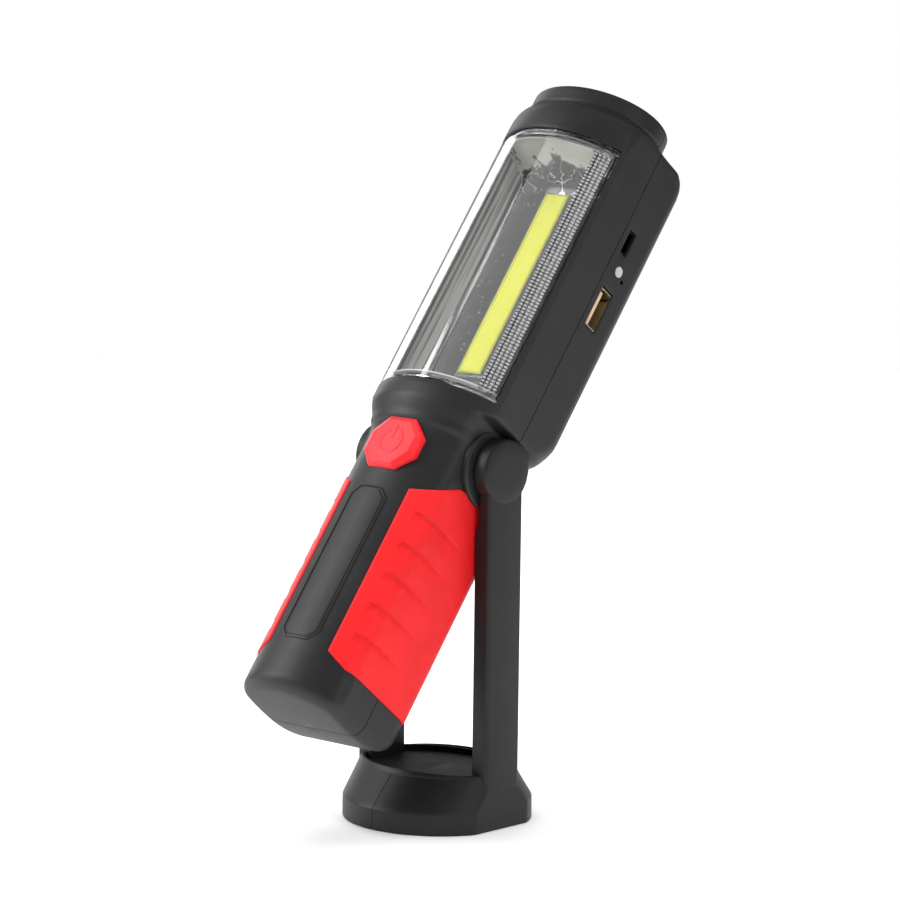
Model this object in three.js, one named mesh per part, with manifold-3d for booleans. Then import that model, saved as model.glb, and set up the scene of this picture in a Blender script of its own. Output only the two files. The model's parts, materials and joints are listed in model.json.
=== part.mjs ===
// Rechargeable work light on a folding yoke stand, in millimetres, +Z up.
// Origin: middle of the underside of the base. +X is the side with the charging sockets,
// and the lamp window faces -Y. The lamp is drawn upright in its own group, with its origin
// on the pivot axis (x across, y towards the back, z along the lamp), and then leaned back.
import * as THREE from "three";
import { mergeVertices } from "three/addons/utils/BufferGeometryUtils.js";
import Module from "manifold-3d";

const wasm = await Module();
wasm.setup();

// ---- driving dimensions -------------------------------------------------------------

const REST_TILT = 37.5; // degrees that the lamp leans back at rest
const PIVOT_HEIGHT = 109;
const GAP = 0.3; // running and assembly clearance

const STAND = {
  halfWidth: 26.6, // outer faces of the arms
  armInner: 20.7, // inner faces alongside the handle
  hubInner: 22.1, // inner faces beside the hubs, where the arm is thinner
  armHalfDepth: 7.5,
  hubRadius: 9.6,
  neckBelowPivot: 17, // where the arm goes from thick to thin
};

const BASE = {
  radius: 29,
  wallHeight: 6.8,
  height: 17.3,
  topScaleX: 0.92, // the sloping part draws in most at the front and the back
  topScaleY: 0.665,
  rimWidth: 1.4,
  recessFloor: 14.4,
  pocketRadius: 23.6,
  pocketHeight: 10.6,
  seam: 0.12, // half of the joint between the two stand halves
};

const COVER = { radius: 23.2, bottom: 0, top: 5.6 };
const MAGNET = { radius: 10.5, bottom: 0, top: 4.4 };
const BALLAST_RADIUS = 15.5;
const HOOK = { wire: 1.25, halfSpan: 14.2, pivotY: 13.5, height: 2.1, tipY: 4 };

const SEAM = 0.7; // depth of the plane where the two lamp shells meet
const SHELL_GAP = 0.1;

const HANDLE = { halfWidth: 19.6, frontRadius: 26.7, apex: -22, back: 17.9, corner: 6, bottom: -92.2 };
const HANDLE_WALL = 2.3;
const HEAD = { halfWidth: 25.4, frontRadius: 32.2, apex: -25.8, back: 18.5, corner: 5 };
const HEAD_BOTTOM = 10.2;
const HEAD_TOP = 117.8;
const HEAD_WALL = 2.2;
const WAIST = { halfWidth: 20.2, frontRadius: 30, apex: -24.6, back: 17.9, corner: 6 };
const WAIST_BOTTOM = 2.5;
const BOSS_RADIUS = 11.6;
const BOSS_FACE = 21.6;

const RING = { halfWidth: 24.2, halfDepth: 18.6, centre: -4.3, top: 124.6, wall: 2.2 };

const WINDOW = {
  halfWidth: 24,
  frontRadius: 31.2,
  apex: -24.5,
  bottom: 15,
  top: 106.5,
  wall: 1.8,
  rearFace: -9.4,
};

const REFLECTOR = { halfWidth: 22.7, bottom: 16.4, top: 105, front: -9.2, floor: -5, rear: -3.8 };
const COB = { halfWidth: 4.5, bottom: 28, top: 93.5, boardMargin: 1.1 };
const TORCH = { radius: 15.6, centre: RING.centre, rear: 114.2 };

const BATTERY = { radius: 9.2, bottom: -87.2, length: 65.2, centre: -1 };
const BOARD = { halfWidth: 22.4, bottom: 24.4, top: 100, front: 1.4, rear: 3 };
const USB_A = { bottom: 55.6, top: 68.8, front: 3.1, rear: 8.8, inner: 11.4, wall: 0.4 };
const MICRO_USB = { bottom: 82, top: 89.6, front: 3.1, rear: 6, inner: 18.6, wall: 0.35 };
const STATUS = { radius: 1.7, depth: 6.4, height: 76.4 };
const CHARGE = { radius: 0.7, depth: 9.7, height: 74.7 };

const BUTTON = { halfWidth: 10.1, halfFlat: 5.1, top: 2.1, bottom: -15.3, shoulder: 5.4, face: -23.1 };
const BUTTON_FLANGE = { front: -16.4, rear: -15.6, lip: 1 };
const BUTTON_STEM_REAR = -14.9;
const INLAY = { halfWidth: 7.3, halfFlat: 4.2, top: -21.6, bottom: -74.4, shoulder: 3 };
const GRIP = { proud: 0.45, depth: 1.3, inner: 11.6, backEdge: 13.4 };

const PIN = { radius: 4, headRadius: 6.4, headInner: 15.4, headOuter: 17, outer: 25.4 };
const SCREW = { headRadius: 2.5, headHeight: 1.7, shankRadius: 1.2, seat: 12 };
const POST_RADIUS = 3;

// ---- finishes -----------------------------------------------------------------------

function finish(color, roughness, metalness) {
  return { color, roughness, metalness };
}
const BLACK_ABS = finish("#34353a", 0.62, 0);
const RED_RUBBER = finish("#e5262b", 0.55, 0);
const CLEAR = finish("#eef2f4", 0.06, 0);
const CHROME = finish("#d9dadc", 0.1, 1);
const STEEL = finish("#b4b6b9", 0.32, 1);
const NICKEL = finish("#c7c4bb", 0.28, 1);
const PHOSPHOR = finish("#f1ef4e", 0.5, 0);
const ALUMINIUM = finish("#d8dadb", 0.38, 1);
const BOARD_GREEN = finish("#1d5a3a", 0.5, 0);
const WHITE_PLASTIC = finish("#ecece8", 0.4, 0);
const BATTERY_WRAP = finish("#2c6fae", 0.4, 0);
const BRASS = finish("#c9a35a", 0.3, 1);
const MAGNET_NICKEL = finish("#a9acb0", 0.25, 1);
const RED_WIRE = finish("#b3241f", 0.5, 0);
const BLACK_WIRE = finish("#1b1b1d", 0.5, 0);

// ---- geometry helpers ---------------------------------------------------------------

// A closed three.js geometry as a solid that can be cut and joined.
function solid(geometry) {
  const bare = geometry.clone();
  bare.deleteAttribute("normal");
  bare.deleteAttribute("uv");
  const merged = mergeVertices(bare, 1e-4);
  return new wasm.Manifold(
    new wasm.Mesh({
      numProp: 3,
      vertProperties: merged.attributes.position.array,
      triVerts: new Uint32Array(merged.index.array),
    }),
  );
}

function geometryOf(body) {
  const mesh = body.getMesh();
  const geometry = new THREE.BufferGeometry();
  geometry.setAttribute("position", new THREE.BufferAttribute(mesh.vertProperties, 3));
  geometry.setIndex(new THREE.BufferAttribute(mesh.triVerts, 1));
  return geometry;
}

function join(...bodies) {
  return bodies.reduce((whole, body) => whole.add(body));
}

function cut(body, ...tools) {
  return tools.reduce((left, tool) => left.subtract(tool), body);
}

// The drawing's own axes, turned so that the extrusion runs along X or along Y.
const ALONG_X = new THREE.Matrix4().makeBasis(
  new THREE.Vector3(0, 1, 0),
  new THREE.Vector3(0, 0, 1),
  new THREE.Vector3(1, 0, 0),
);
const ALONG_Y = new THREE.Matrix4().makeBasis(
  new THREE.Vector3(1, 0, 0),
  new THREE.Vector3(0, 0, 1),
  new THREE.Vector3(0, -1, 0),
);

function extrude(shape, from, to, curveSegments = 6, bevel = 0) {
  const geometry = new THREE.ExtrudeGeometry(shape, {
    depth: to - from - 2 * bevel,
    bevelEnabled: bevel > 0,
    bevelSize: bevel,
    bevelOffset: -bevel,
    bevelThickness: bevel,
    bevelSegments: 2,
    curveSegments,
  });
  return geometry.translate(0, 0, from + bevel);
}

// shape is drawn in (x, y) and runs along z.
function prismZ(shape, from, to, curveSegments, bevel) {
  return solid(extrude(shape, from, to, curveSegments, bevel));
}

// shape is drawn in (y, z) and runs along x.
function prismX(shape, from, to, curveSegments, bevel) {
  return solid(extrude(shape, from, to, curveSegments, bevel).applyMatrix4(ALONG_X));
}

// shape is drawn in (x, z) and runs along y.
function prismY(shape, from, to, curveSegments, bevel) {
  return solid(extrude(shape, -to, -from, curveSegments, bevel).applyMatrix4(ALONG_Y));
}

function box(x0, x1, y0, y1, z0, z1) {
  const geometry = new THREE.BoxGeometry(x1 - x0, y1 - y0, z1 - z0);
  return solid(geometry.translate((x0 + x1) / 2, (y0 + y1) / 2, (z0 + z1) / 2));
}

function outline(points) {
  return new THREE.Shape(points.map(([x, y]) => new THREE.Vector2(x, y)));
}

function disc(radius, x = 0, y = 0) {
  return new THREE.Shape().absarc(x, y, radius, 0, 2 * Math.PI, false);
}

function rodX(radius, from, to, y, z, segments = 12) {
  return prismX(disc(radius, y, z), from, to, segments / 2);
}

function rodY(radius, from, to, x, z, segments = 12) {
  return prismY(disc(radius, x, z), from, to, segments / 2);
}

function rodZ(radius, from, to, x, y, segments = 12) {
  return prismZ(disc(radius, x, y), from, to, segments / 2);
}

// Cross-section of the lamp: a bowed front, flat sides and a flat back with round corners.
function section({ halfWidth, frontRadius, apex, back, corner }, inset = 0) {
  const width = halfWidth - inset;
  const radius = frontRadius - inset;
  const centre = apex + frontRadius;
  const reach = Math.asin(width / radius);
  const rear = back - inset;
  const bend = Math.max(corner - inset, 0.8);
  const shape = new THREE.Shape();
  shape.absarc(0, centre, radius, -Math.PI / 2 - reach, -Math.PI / 2 + reach, false);
  shape.absarc(width - bend, rear - bend, bend, 0, Math.PI / 2, false);
  shape.absarc(bend - width, rear - bend, bend, Math.PI / 2, Math.PI, false);
  return shape;
}

// Cross-section of the window and its inner faces: a bowed front on straight sides.
function windowSection(inset, rearFace) {
  const width = WINDOW.halfWidth - inset;
  const radius = WINDOW.frontRadius - inset;
  const centre = WINDOW.apex + WINDOW.frontRadius;
  const reach = Math.asin(width / radius);
  const shape = new THREE.Shape();
  shape.absarc(0, centre, radius, -Math.PI / 2 - reach, -Math.PI / 2 + reach, false);
  shape.lineTo(width, rearFace);
  shape.lineTo(-width, rearFace);
  return shape;
}

function ringOutline(inset) {
  const shape = new THREE.Shape();
  shape.absellipse(
    0,
    RING.centre,
    RING.halfWidth - inset,
    RING.halfDepth - inset,
    0,
    2 * Math.PI,
    false,
  );
  return shape;
}

// An eight-sided outline with cut corners, as on the button and the plate below it.
function octagon({ halfWidth, halfFlat, top, bottom, shoulder }, grow = 0) {
  const right = [
    [halfFlat + grow / 2, top + grow],
    [halfWidth + grow, top - shoulder + grow / 2],
    [halfWidth + grow, bottom + shoulder - grow / 2],
    [halfFlat + grow / 2, bottom - grow],
  ];
  const left = right.map(([x, z]) => [-x, z]).reverse();
  return outline([...right, ...left].reverse());
}

// ---- nodes --------------------------------------------------------------------------

const light = new THREE.Group();
const lamp = new THREE.Group();
lamp.position.z = PIVOT_HEIGHT;
lamp.rotation.x = THREE.MathUtils.degToRad(-REST_TILT);
light.add(lamp);

function addNode(group, name, body, material) {
  const mesh = new THREE.Mesh(geometryOf(body), new THREE.MeshStandardMaterial(material));
  mesh.name = name;
  group.add(mesh);
}

// ---- lamp shells --------------------------------------------------------------------

// Side view of the handle's foot: a flat sole that turns up at the front and the back.
function handleSideView() {
  const sole = HANDLE.bottom;
  return outline([
    [-30, 20],
    [-30, sole + 6],
    [-21.6, sole + 4],
    [-18.5, sole + 1.4],
    [-12, sole + 0.3],
    [SEAM, sole],
    [13, sole + 1.2],
    [16.4, sole + 3],
    [17.9, sole + 6],
    [25, sole + 8],
    [25, 20],
  ]);
}

// Front view of the handle's foot: the lower corners are cut off.
function handleFrontView() {
  const side = HANDLE.halfWidth;
  return outline([
    [-30, 20],
    [-30, HANDLE.bottom + 12],
    [-side, HANDLE.bottom + 2.4],
    [-side + 2.2, HANDLE.bottom - 1],
    [side - 2.2, HANDLE.bottom - 1],
    [side, HANDLE.bottom + 2.4],
    [30, HANDLE.bottom + 12],
    [30, 20],
  ]);
}

// Side view of the head: a rounded lower back and a rounded upper back.
function headSideView() {
  const lowerBend = 9.3;
  const upperBend = 6;
  const shape = new THREE.Shape();
  shape.moveTo(-30, HEAD_BOTTOM);
  shape.lineTo(HEAD.back - lowerBend, HEAD_BOTTOM);
  shape.absarc(HEAD.back - lowerBend, HEAD_BOTTOM + lowerBend, lowerBend, -Math.PI / 2, 0, false);
  shape.absarc(HEAD.back - upperBend, HEAD_TOP - upperBend, upperBend, 0, Math.PI / 2, false);
  shape.lineTo(-30, HEAD_TOP);
  return shape;
}

function lampOutside() {
  const handle = prismZ(section(HANDLE), HANDLE.bottom, HEAD_BOTTOM + 1)
    .intersect(prismX(handleSideView(), -30, 30))
    .intersect(prismY(handleFrontView(), -30, 30));
  const waist = prismZ(section(WAIST), WAIST_BOTTOM, HEAD_BOTTOM + 1, 6, 1.6);
  const topBevel = 2.6;
  const head = prismZ(section(HEAD), HEAD_BOTTOM - 2 * topBevel, HEAD_TOP, 6, topBevel)
    .intersect(prismX(headSideView(), -30, 30));
  const bosses = rodX(BOSS_RADIUS, -BOSS_FACE, BOSS_FACE, 0, 0, 24);
  const ring = prismZ(ringOutline(0), HEAD_TOP - 5, RING.top, 12, 1);
  return join(handle, waist, head, bosses, ring);
}

function lampInside() {
  const handle = prismZ(section(HANDLE, HANDLE_WALL), HANDLE.bottom + 3, HEAD_BOTTOM + 8);
  const head = prismZ(section(HEAD, HEAD_WALL), HEAD_BOTTOM + 4.2, HEAD_TOP - 3.4);
  const lowerBack = prismX(
    outline([
      [-30, 5],
      [8, 5],
      [15, 17],
      [25, 30],
      [25, 130],
      [-30, 130],
    ]),
    -30,
    30,
  );
  const ring = prismZ(ringOutline(RING.wall), HEAD_TOP - 6, RING.top + 1, 12);
  return join(handle, head.intersect(lowerBack), ring);
}

const SCREW_PLACES = [
  { x: 20.4, z: 110, tip: -8, postFront: -30 },
  { x: -20.4, z: 110, tip: -8, postFront: -30 },
  { x: 20.4, z: 20.4, tip: -2.6, postFront: -3.4 },
  { x: -20.4, z: 20.4, tip: -2.6, postFront: -3.4 },
  { x: 13.6, z: -84.2, tip: -8, postFront: -30 },
  { x: -13.6, z: -84.2, tip: -8, postFront: -30 },
];

function gripRegion(grow) {
  const front = -26;
  return outline([
    [front, -20.8 + grow],
    [-19.4, -19.6 + grow],
    [-9.7, -12.9 + grow],
    [GRIP.backEdge + grow, -12.9 + grow],
    [GRIP.backEdge + grow, -79.6 - grow],
    [front, -75 - grow],
  ]);
}

// The band of handle surface that a grip covers, between two depths below the surface.
function gripBand(side, outer, inner, grow) {
  const skin = prismZ(section(HANDLE, outer), -85, -8);
  const core = prismZ(section(HANDLE, inner), -86, -7);
  const nearest = GRIP.inner - grow;
  const reach = side > 0 ? box(nearest, 30, -30, 30, -90, 0) : box(-30, -nearest, -30, 30, -90, 0);
  return cut(skin, core).intersect(prismX(gripRegion(grow), -30, 30)).intersect(reach);
}

function inlayPlate(outer, inner, grow) {
  const skin = prismZ(section(HANDLE, outer), -80, -15, 10);
  const core = prismZ(section(HANDLE, inner), -81, -14, 10);
  return cut(skin, core).intersect(prismY(octagon(INLAY, grow), -30, 0));
}

function socketOpenings() {
  const through = 30;
  return join(
    box(20, through, USB_A.front - 0.2, USB_A.rear + 0.2, USB_A.bottom - 0.2, USB_A.top + 0.2),
    box(
      20,
      through,
      MICRO_USB.front - 0.2,
      MICRO_USB.rear + 0.2,
      MICRO_USB.bottom - 0.4,
      MICRO_USB.top + 0.4,
    ),
    rodX(STATUS.radius + 0.1, 20, through, STATUS.depth, STATUS.height),
    rodX(CHARGE.radius + 0.1, 20, through, CHARGE.depth, CHARGE.height, 8),
  );
}

function makeShells() {
  const outside = lampOutside();
  const hollow = cut(outside, lampInside());
  const posts = SCREW_PLACES.map(({ x, z, postFront }) =>
    rodY(POST_RADIUS, postFront, 18, x, z).intersect(outside),
  );
  const windowOpening = prismZ(
    windowSection(-GAP, WINDOW.rearFace + 0.2),
    WINDOW.bottom - GAP,
    WINDOW.top + GAP,
    10,
  ).add(box(-WINDOW.halfWidth - GAP, WINDOW.halfWidth + GAP, -30, -14, WINDOW.bottom - GAP, WINDOW.top + GAP));
  const counterbores = SCREW_PLACES.map(({ x, z }) =>
    rodY(SCREW.headRadius + GAP, SCREW.seat, 30, x, z),
  );
  const pilotHoles = SCREW_PLACES.map(({ x, z, tip }) =>
    rodY(SCREW.shankRadius + 0.1, tip - 0.4, 30, x, z),
  );
  const pinBore = rodX(PIN.radius + 0.15, -30, 30, 0, 0, 16);
  const buttonHole = prismY(octagon(BUTTON, GAP), -30, -12);
  const torchRoom = rodZ(TORCH.radius + GAP, TORCH.rear - 0.4, RING.top - 1.9, 0, TORCH.centre, 24);
  const shells = cut(
    join(hollow, ...posts),
    windowOpening,
    ...counterbores,
    ...pilotHoles,
    pinBore,
    buttonHole,
    torchRoom,
    socketOpenings(),
    gripBand(1, -2, GRIP.depth + 0.15, 0.15),
    gripBand(-1, -2, GRIP.depth + 0.15, 0.15),
    inlayPlate(-2, 1.45, 0.25),
  );
  const front = shells.intersect(box(-40, 40, -40, SEAM - SHELL_GAP, -120, 150));
  const back = shells.intersect(box(-40, 40, SEAM + SHELL_GAP, 40, -120, 150));
  addNode(lamp, "front_shell", front, BLACK_ABS);
  addNode(lamp, "back_shell", back, BLACK_ABS);
}

function makeShellScrews() {
  SCREW_PLACES.forEach(({ x, z, tip }, index) => {
    const head = rodY(SCREW.headRadius, SCREW.seat + 0.05, SCREW.seat + SCREW.headHeight, x, z);
    const shank = rodY(SCREW.shankRadius, tip, SCREW.seat + 0.5, x, z, 8);
    addNode(lamp, "shell_screw_" + (index + 1), join(head, shank), STEEL);
  });
}

// ---- lamp window and light sources --------------------------------------------------

function makeWindow() {
  const outside = prismZ(windowSection(0, WINDOW.rearFace), WINDOW.bottom, WINDOW.top, 10);
  const inside = prismZ(
    windowSection(WINDOW.wall, WINDOW.rearFace + 5),
    WINDOW.bottom + WINDOW.wall,
    WINDOW.top - WINDOW.wall,
    10,
  );
  addNode(lamp, "window_lens", cut(outside, inside), CLEAR);
}

function makeReflector() {
  const { halfWidth, bottom, top, front, floor, rear } = REFLECTOR;
  const rimWidth = 1.2;
  const acrossFloor = 17.5;
  const endRamp = 8.6;
  const tray = box(-halfWidth, halfWidth, front, rear, bottom, top);
  const across = prismZ(
    outline([
      [-halfWidth + rimWidth, front - 0.1],
      [halfWidth - rimWidth, front - 0.1],
      [acrossFloor, floor],
      [-acrossFloor, floor],
    ]),
    bottom,
    top,
  );
  const along = prismX(
    outline([
      [front - 0.1, bottom + rimWidth],
      [floor, bottom + endRamp],
      [floor, top - endRamp],
      [front - 0.1, top - rimWidth],
    ]),
    -halfWidth,
    halfWidth,
  );
  addNode(lamp, "reflector", cut(tray, across.intersect(along)), CHROME);
}

function makeCobStrip() {
  const { halfWidth, bottom, top, boardMargin } = COB;
  const boardRear = REFLECTOR.floor - 0.06;
  const boardFront = boardRear - 1;
  const stripRear = boardFront - 0.06;
  const board = box(
    -halfWidth - boardMargin,
    halfWidth + boardMargin,
    boardFront,
    boardRear,
    bottom - boardMargin,
    top + boardMargin,
  );
  const strip = box(-halfWidth, halfWidth, stripRear - 0.9, stripRear, bottom, top);
  addNode(lamp, "cob_board", board, ALUMINIUM);
  addNode(lamp, "cob_strip", strip, PHOSPHOR);
}

const TORCH_LED_PLACES = [0, 1, 2, 3, 4].map((index) => {
  const angle = Math.PI / 2 + (index * 2 * Math.PI) / 5;
  return { x: 8.4 * Math.cos(angle), y: TORCH.centre + 8.4 * Math.sin(angle) };
});

function makeTorch() {
  const boardTop = TORCH.rear + 1.2;
  const cupBase = boardTop + 0.1;
  const cupTop = cupBase + 5.6;
  const lensBottom = cupTop + 0.1;
  const board = rodZ(TORCH.radius - 1, TORCH.rear, boardTop, 0, TORCH.centre, 24);
  addNode(lamp, "torch_board", board, BOARD_GREEN);
  const cups = TORCH_LED_PLACES.map(({ x, y }) => {
    const cone = new THREE.CylinderGeometry(4.6, 2.7, cupTop - cupBase + 0.2, 16);
    return solid(cone.rotateX(Math.PI / 2).translate(x, y, (cupTop + cupBase) / 2));
  });
  const cupPlate = rodZ(TORCH.radius, cupBase, cupTop, 0, TORCH.centre, 24);
  addNode(lamp, "torch_reflector", cut(cupPlate, ...cups), CHROME);
  TORCH_LED_PLACES.forEach(({ x, y }, index) => {
    const barrel = rodZ(2.4, cupBase, cupBase + 2, x, y, 12);
    const dome = new THREE.SphereGeometry(2.1, 12, 8);
    const led = barrel.add(solid(dome.translate(x, y, cupBase + 2)));
    addNode(lamp, "torch_led_" + (index + 1), led, WHITE_PLASTIC);
  });
  const lens = rodZ(TORCH.radius, lensBottom, RING.top - 2, 0, TORCH.centre, 24);
  addNode(lamp, "torch_lens", lens, CLEAR);
  const bezelOutside = prismZ(ringOutline(RING.wall + GAP), RING.top - 1.8, RING.top - 0.4, 12);
  const bezelInside = rodZ(TORCH.radius - 1.4, RING.top - 3, RING.top, 0, TORCH.centre, 24);
  addNode(lamp, "torch_bezel", cut(bezelOutside, bezelInside), BLACK_ABS);
  const cradleOutside = prismZ(ringOutline(RING.wall + GAP), HEAD_TOP - 2.6, RING.top - 2, 12);
  const cradleInside = rodZ(TORCH.radius + GAP, HEAD_TOP - 10, RING.top, 0, TORCH.centre, 24);
  addNode(lamp, "torch_cradle", cut(cradleOutside, cradleInside), BLACK_ABS);
}

// ---- electronics --------------------------------------------------------------------

// A metal socket shell that opens towards +X, with a tongue inside.
function makeSocket(name, { bottom, top, front, rear, inner, wall }, outer, tongue) {
  const shell = cut(
    box(inner, outer, front, rear, bottom, top),
    box(inner + 0.8, outer + 1, front + wall, rear - wall, bottom + wall, top - wall),
  );
  addNode(lamp, name + "_shell", shell, NICKEL);
  const [tongueFront, tongueRear] = tongue;
  const margin = wall + 0.5;
  const blade = box(inner + 0.9, outer - 1, tongueFront, tongueRear, bottom + margin, top - margin);
  addNode(lamp, name + "_tongue", blade, name === "usb_a" ? BRASS : WHITE_PLASTIC);
}

function makeElectronics() {
  const board = box(-BOARD.halfWidth, BOARD.halfWidth, BOARD.front, BOARD.rear, BOARD.bottom, BOARD.top);
  addNode(lamp, "main_board", board, BOARD_GREEN);
  makeSocket("usb_a", USB_A, HEAD.halfWidth - 0.3, [USB_A.front + 0.8, USB_A.front + 2.6]);
  makeSocket("micro_usb", MICRO_USB, HEAD.halfWidth - 0.5, [MICRO_USB.front + 0.9, MICRO_USB.front + 1.6]);
  const statusPipe = rodX(STATUS.radius, 19, HEAD.halfWidth + 0.25, STATUS.depth, STATUS.height);
  addNode(lamp, "status_light_pipe", statusPipe, WHITE_PLASTIC);
  const chargePipe = rodX(CHARGE.radius, 19, HEAD.halfWidth, CHARGE.depth, CHARGE.height, 8);
  addNode(lamp, "charge_light_pipe", chargePipe, WHITE_PLASTIC);
}

function makeBattery() {
  const { radius, bottom, length, centre } = BATTERY;
  const top = bottom + length;
  const cell = rodZ(radius, bottom, top, 0, centre, 24);
  addNode(lamp, "battery_cell", cell, BATTERY_WRAP);
  const tab = (from, to) => box(-4, 4, centre - 7, centre + 7, from, to);
  addNode(lamp, "battery_tab_positive", tab(top + 0.06, top + 0.4), NICKEL);
  addNode(lamp, "battery_tab_negative", tab(bottom - 0.4, bottom - 0.06), NICKEL);
}

function wire(points, radius = 0.8) {
  const route = new THREE.CatmullRomCurve3(points.map(([x, y, z]) => new THREE.Vector3(x, y, z)));
  const geometry = new THREE.ExtrudeGeometry(disc(radius), {
    steps: 14,
    curveSegments: 4,
    extrudePath: route,
  });
  return solid(geometry);
}

function makeWires() {
  const batteryTop = BATTERY.bottom + BATTERY.length;
  const positive = wire([
    [2, 3, batteryTop + 1.4],
    [3, 5, -8],
    [5, 6, 8],
    [6, 7, 22],
    [6, 5.5, 32],
    [6, 3.9, 38],
  ]);
  addNode(lamp, "battery_lead_positive", positive, RED_WIRE);
  const negative = wire([
    [-3, 9.6, BATTERY.bottom],
    [-3, 10.2, -66],
    [-3, 10.2, -30],
    [-4, 9, -8],
    [-6, 7.4, 10],
    [-6, 7, 22],
    [-6, 5.5, 32],
    [-6, 3.9, 38],
  ]);
  addNode(lamp, "battery_lead_negative", negative, BLACK_WIRE);
  const cob = wire([
    [0, -1.6, 98],
    [6, -1.2, 99.5],
    [9, 0.5, 103],
    [9, 3, 103.2],
    [9, 4.6, 100],
    [9, 4.4, 95],
  ], 0.6);
  addNode(lamp, "cob_lead", cob, RED_WIRE);
  const torch = wire([
    [-6, 0, 113.2],
    [-8, 2, 111],
    [-9, 4.6, 107],
    [-9, 5.6, 101],
    [-9, 4.2, 95],
  ], 0.6);
  addNode(lamp, "torch_lead", torch, RED_WIRE);
}

// ---- button, plate and grips --------------------------------------------------------

function makeSwitch() {
  const middle = (BUTTON.top + BUTTON.bottom) / 2;
  const board = box(-9, 9, -10.4, -9.2, middle - 9, middle + 9);
  addNode(lamp, "switch_board", board, BOARD_GREEN);
  const body = box(-3, 3, -13.6, -10.46, middle - 3, middle + 3);
  const plunger = rodY(1.6, -13.95, -13, 0, middle);
  addNode(lamp, "push_switch", body.add(plunger), WHITE_PLASTIC);
}

function makeButton() {
  const cap = prismY(octagon(BUTTON), BUTTON.face, BUTTON_FLANGE.front + 0.5, 6, 0.9)
    .intersect(box(-20, 20, BUTTON.face, BUTTON_FLANGE.front - 0.5, -30, 20));
  const body = prismY(octagon(BUTTON), BUTTON_FLANGE.front - 1, BUTTON_FLANGE.rear);
  const flange = prismY(octagon(BUTTON, BUTTON_FLANGE.lip), BUTTON_FLANGE.front, BUTTON_FLANGE.rear);
  const middle = (BUTTON.top + BUTTON.bottom) / 2;
  const stem = rodY(2.6, BUTTON_FLANGE.rear - 0.5, BUTTON_STEM_REAR, 0, middle);
  addNode(lamp, "power_button", join(cap, body, flange, stem), RED_RUBBER);
}

function makeHandleTrim() {
  addNode(lamp, "handle_plate", inlayPlate(0.15, 1.3, 0), BLACK_ABS);
  addNode(lamp, "grip_right", gripBand(1, -GRIP.proud, GRIP.depth, 0), RED_RUBBER);
  addNode(lamp, "grip_left", gripBand(-1, -GRIP.proud, GRIP.depth, 0), RED_RUBBER);
}

// ---- pivots -------------------------------------------------------------------------

function mirrored(side, from, to) {
  return side > 0 ? [from, to] : [-to, -from];
}

function makePivots() {
  for (const [suffix, side] of [["right", 1], ["left", -1]]) {
    const shaft = rodX(PIN.radius, ...mirrored(side, PIN.headInner, PIN.outer), 0, 0, 16);
    const head = rodX(PIN.headRadius, ...mirrored(side, PIN.headInner, PIN.headOuter), 0, 0, 16);
    addNode(lamp, "pivot_pin_" + suffix, shaft.add(head), STEEL);
    const [from, to] = mirrored(side, BOSS_FACE + 0.06, STAND.hubInner - 0.1);
    const ring = cut(rodX(8.4, from, to, 0, 0, 24), rodX(PIN.radius + 0.3, -30, 30, 0, 0, 16));
    addNode(lamp, "friction_washer_" + suffix, ring, STEEL);
  }
}

// ---- stand --------------------------------------------------------------------------

// The base's outside: a round wall whose upper part slopes in to a smaller, oval rim.
function baseOutside(inset, bottom, top) {
  const { radius, wallHeight, height, topScaleX, topScaleY } = BASE;
  const geometry = new THREE.LatheGeometry(
    [
      new THREE.Vector2(0, 0),
      new THREE.Vector2(radius, 0),
      new THREE.Vector2(radius, wallHeight),
      new THREE.Vector2(radius, height),
      new THREE.Vector2(0, height),
    ],
    56,
  ).rotateX(Math.PI / 2);
  const place = geometry.attributes.position;
  for (let i = 0; i < place.count; i++) {
    const rise = Math.max(0, (place.getZ(i) - wallHeight) / (height - wallHeight));
    const scaleX = 1 + rise * (topScaleX - 1);
    const scaleY = 1 + rise * (topScaleY - 1);
    const shrink = (radius - inset) / radius;
    place.setX(i, place.getX(i) * scaleX * shrink);
    place.setY(i, place.getY(i) * scaleY * shrink);
  }
  return solid(geometry).intersect(box(-40, 40, -40, 40, bottom, top));
}

function armOutline() {
  const { armHalfDepth, hubRadius } = STAND;
  const blend = Math.acos(armHalfDepth / hubRadius);
  const shape = new THREE.Shape();
  shape.moveTo(-armHalfDepth, 0);
  shape.lineTo(armHalfDepth, 0);
  shape.absarc(0, PIVOT_HEIGHT, hubRadius, -blend, Math.PI + blend, false);
  return shape;
}

const COVER_SCREW_PLACES = [
  { x: 19, y: -6.5 },
  { x: -19, y: -6.5 },
  { x: 5, y: 20 },
  { x: -5, y: 20 },
];

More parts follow.
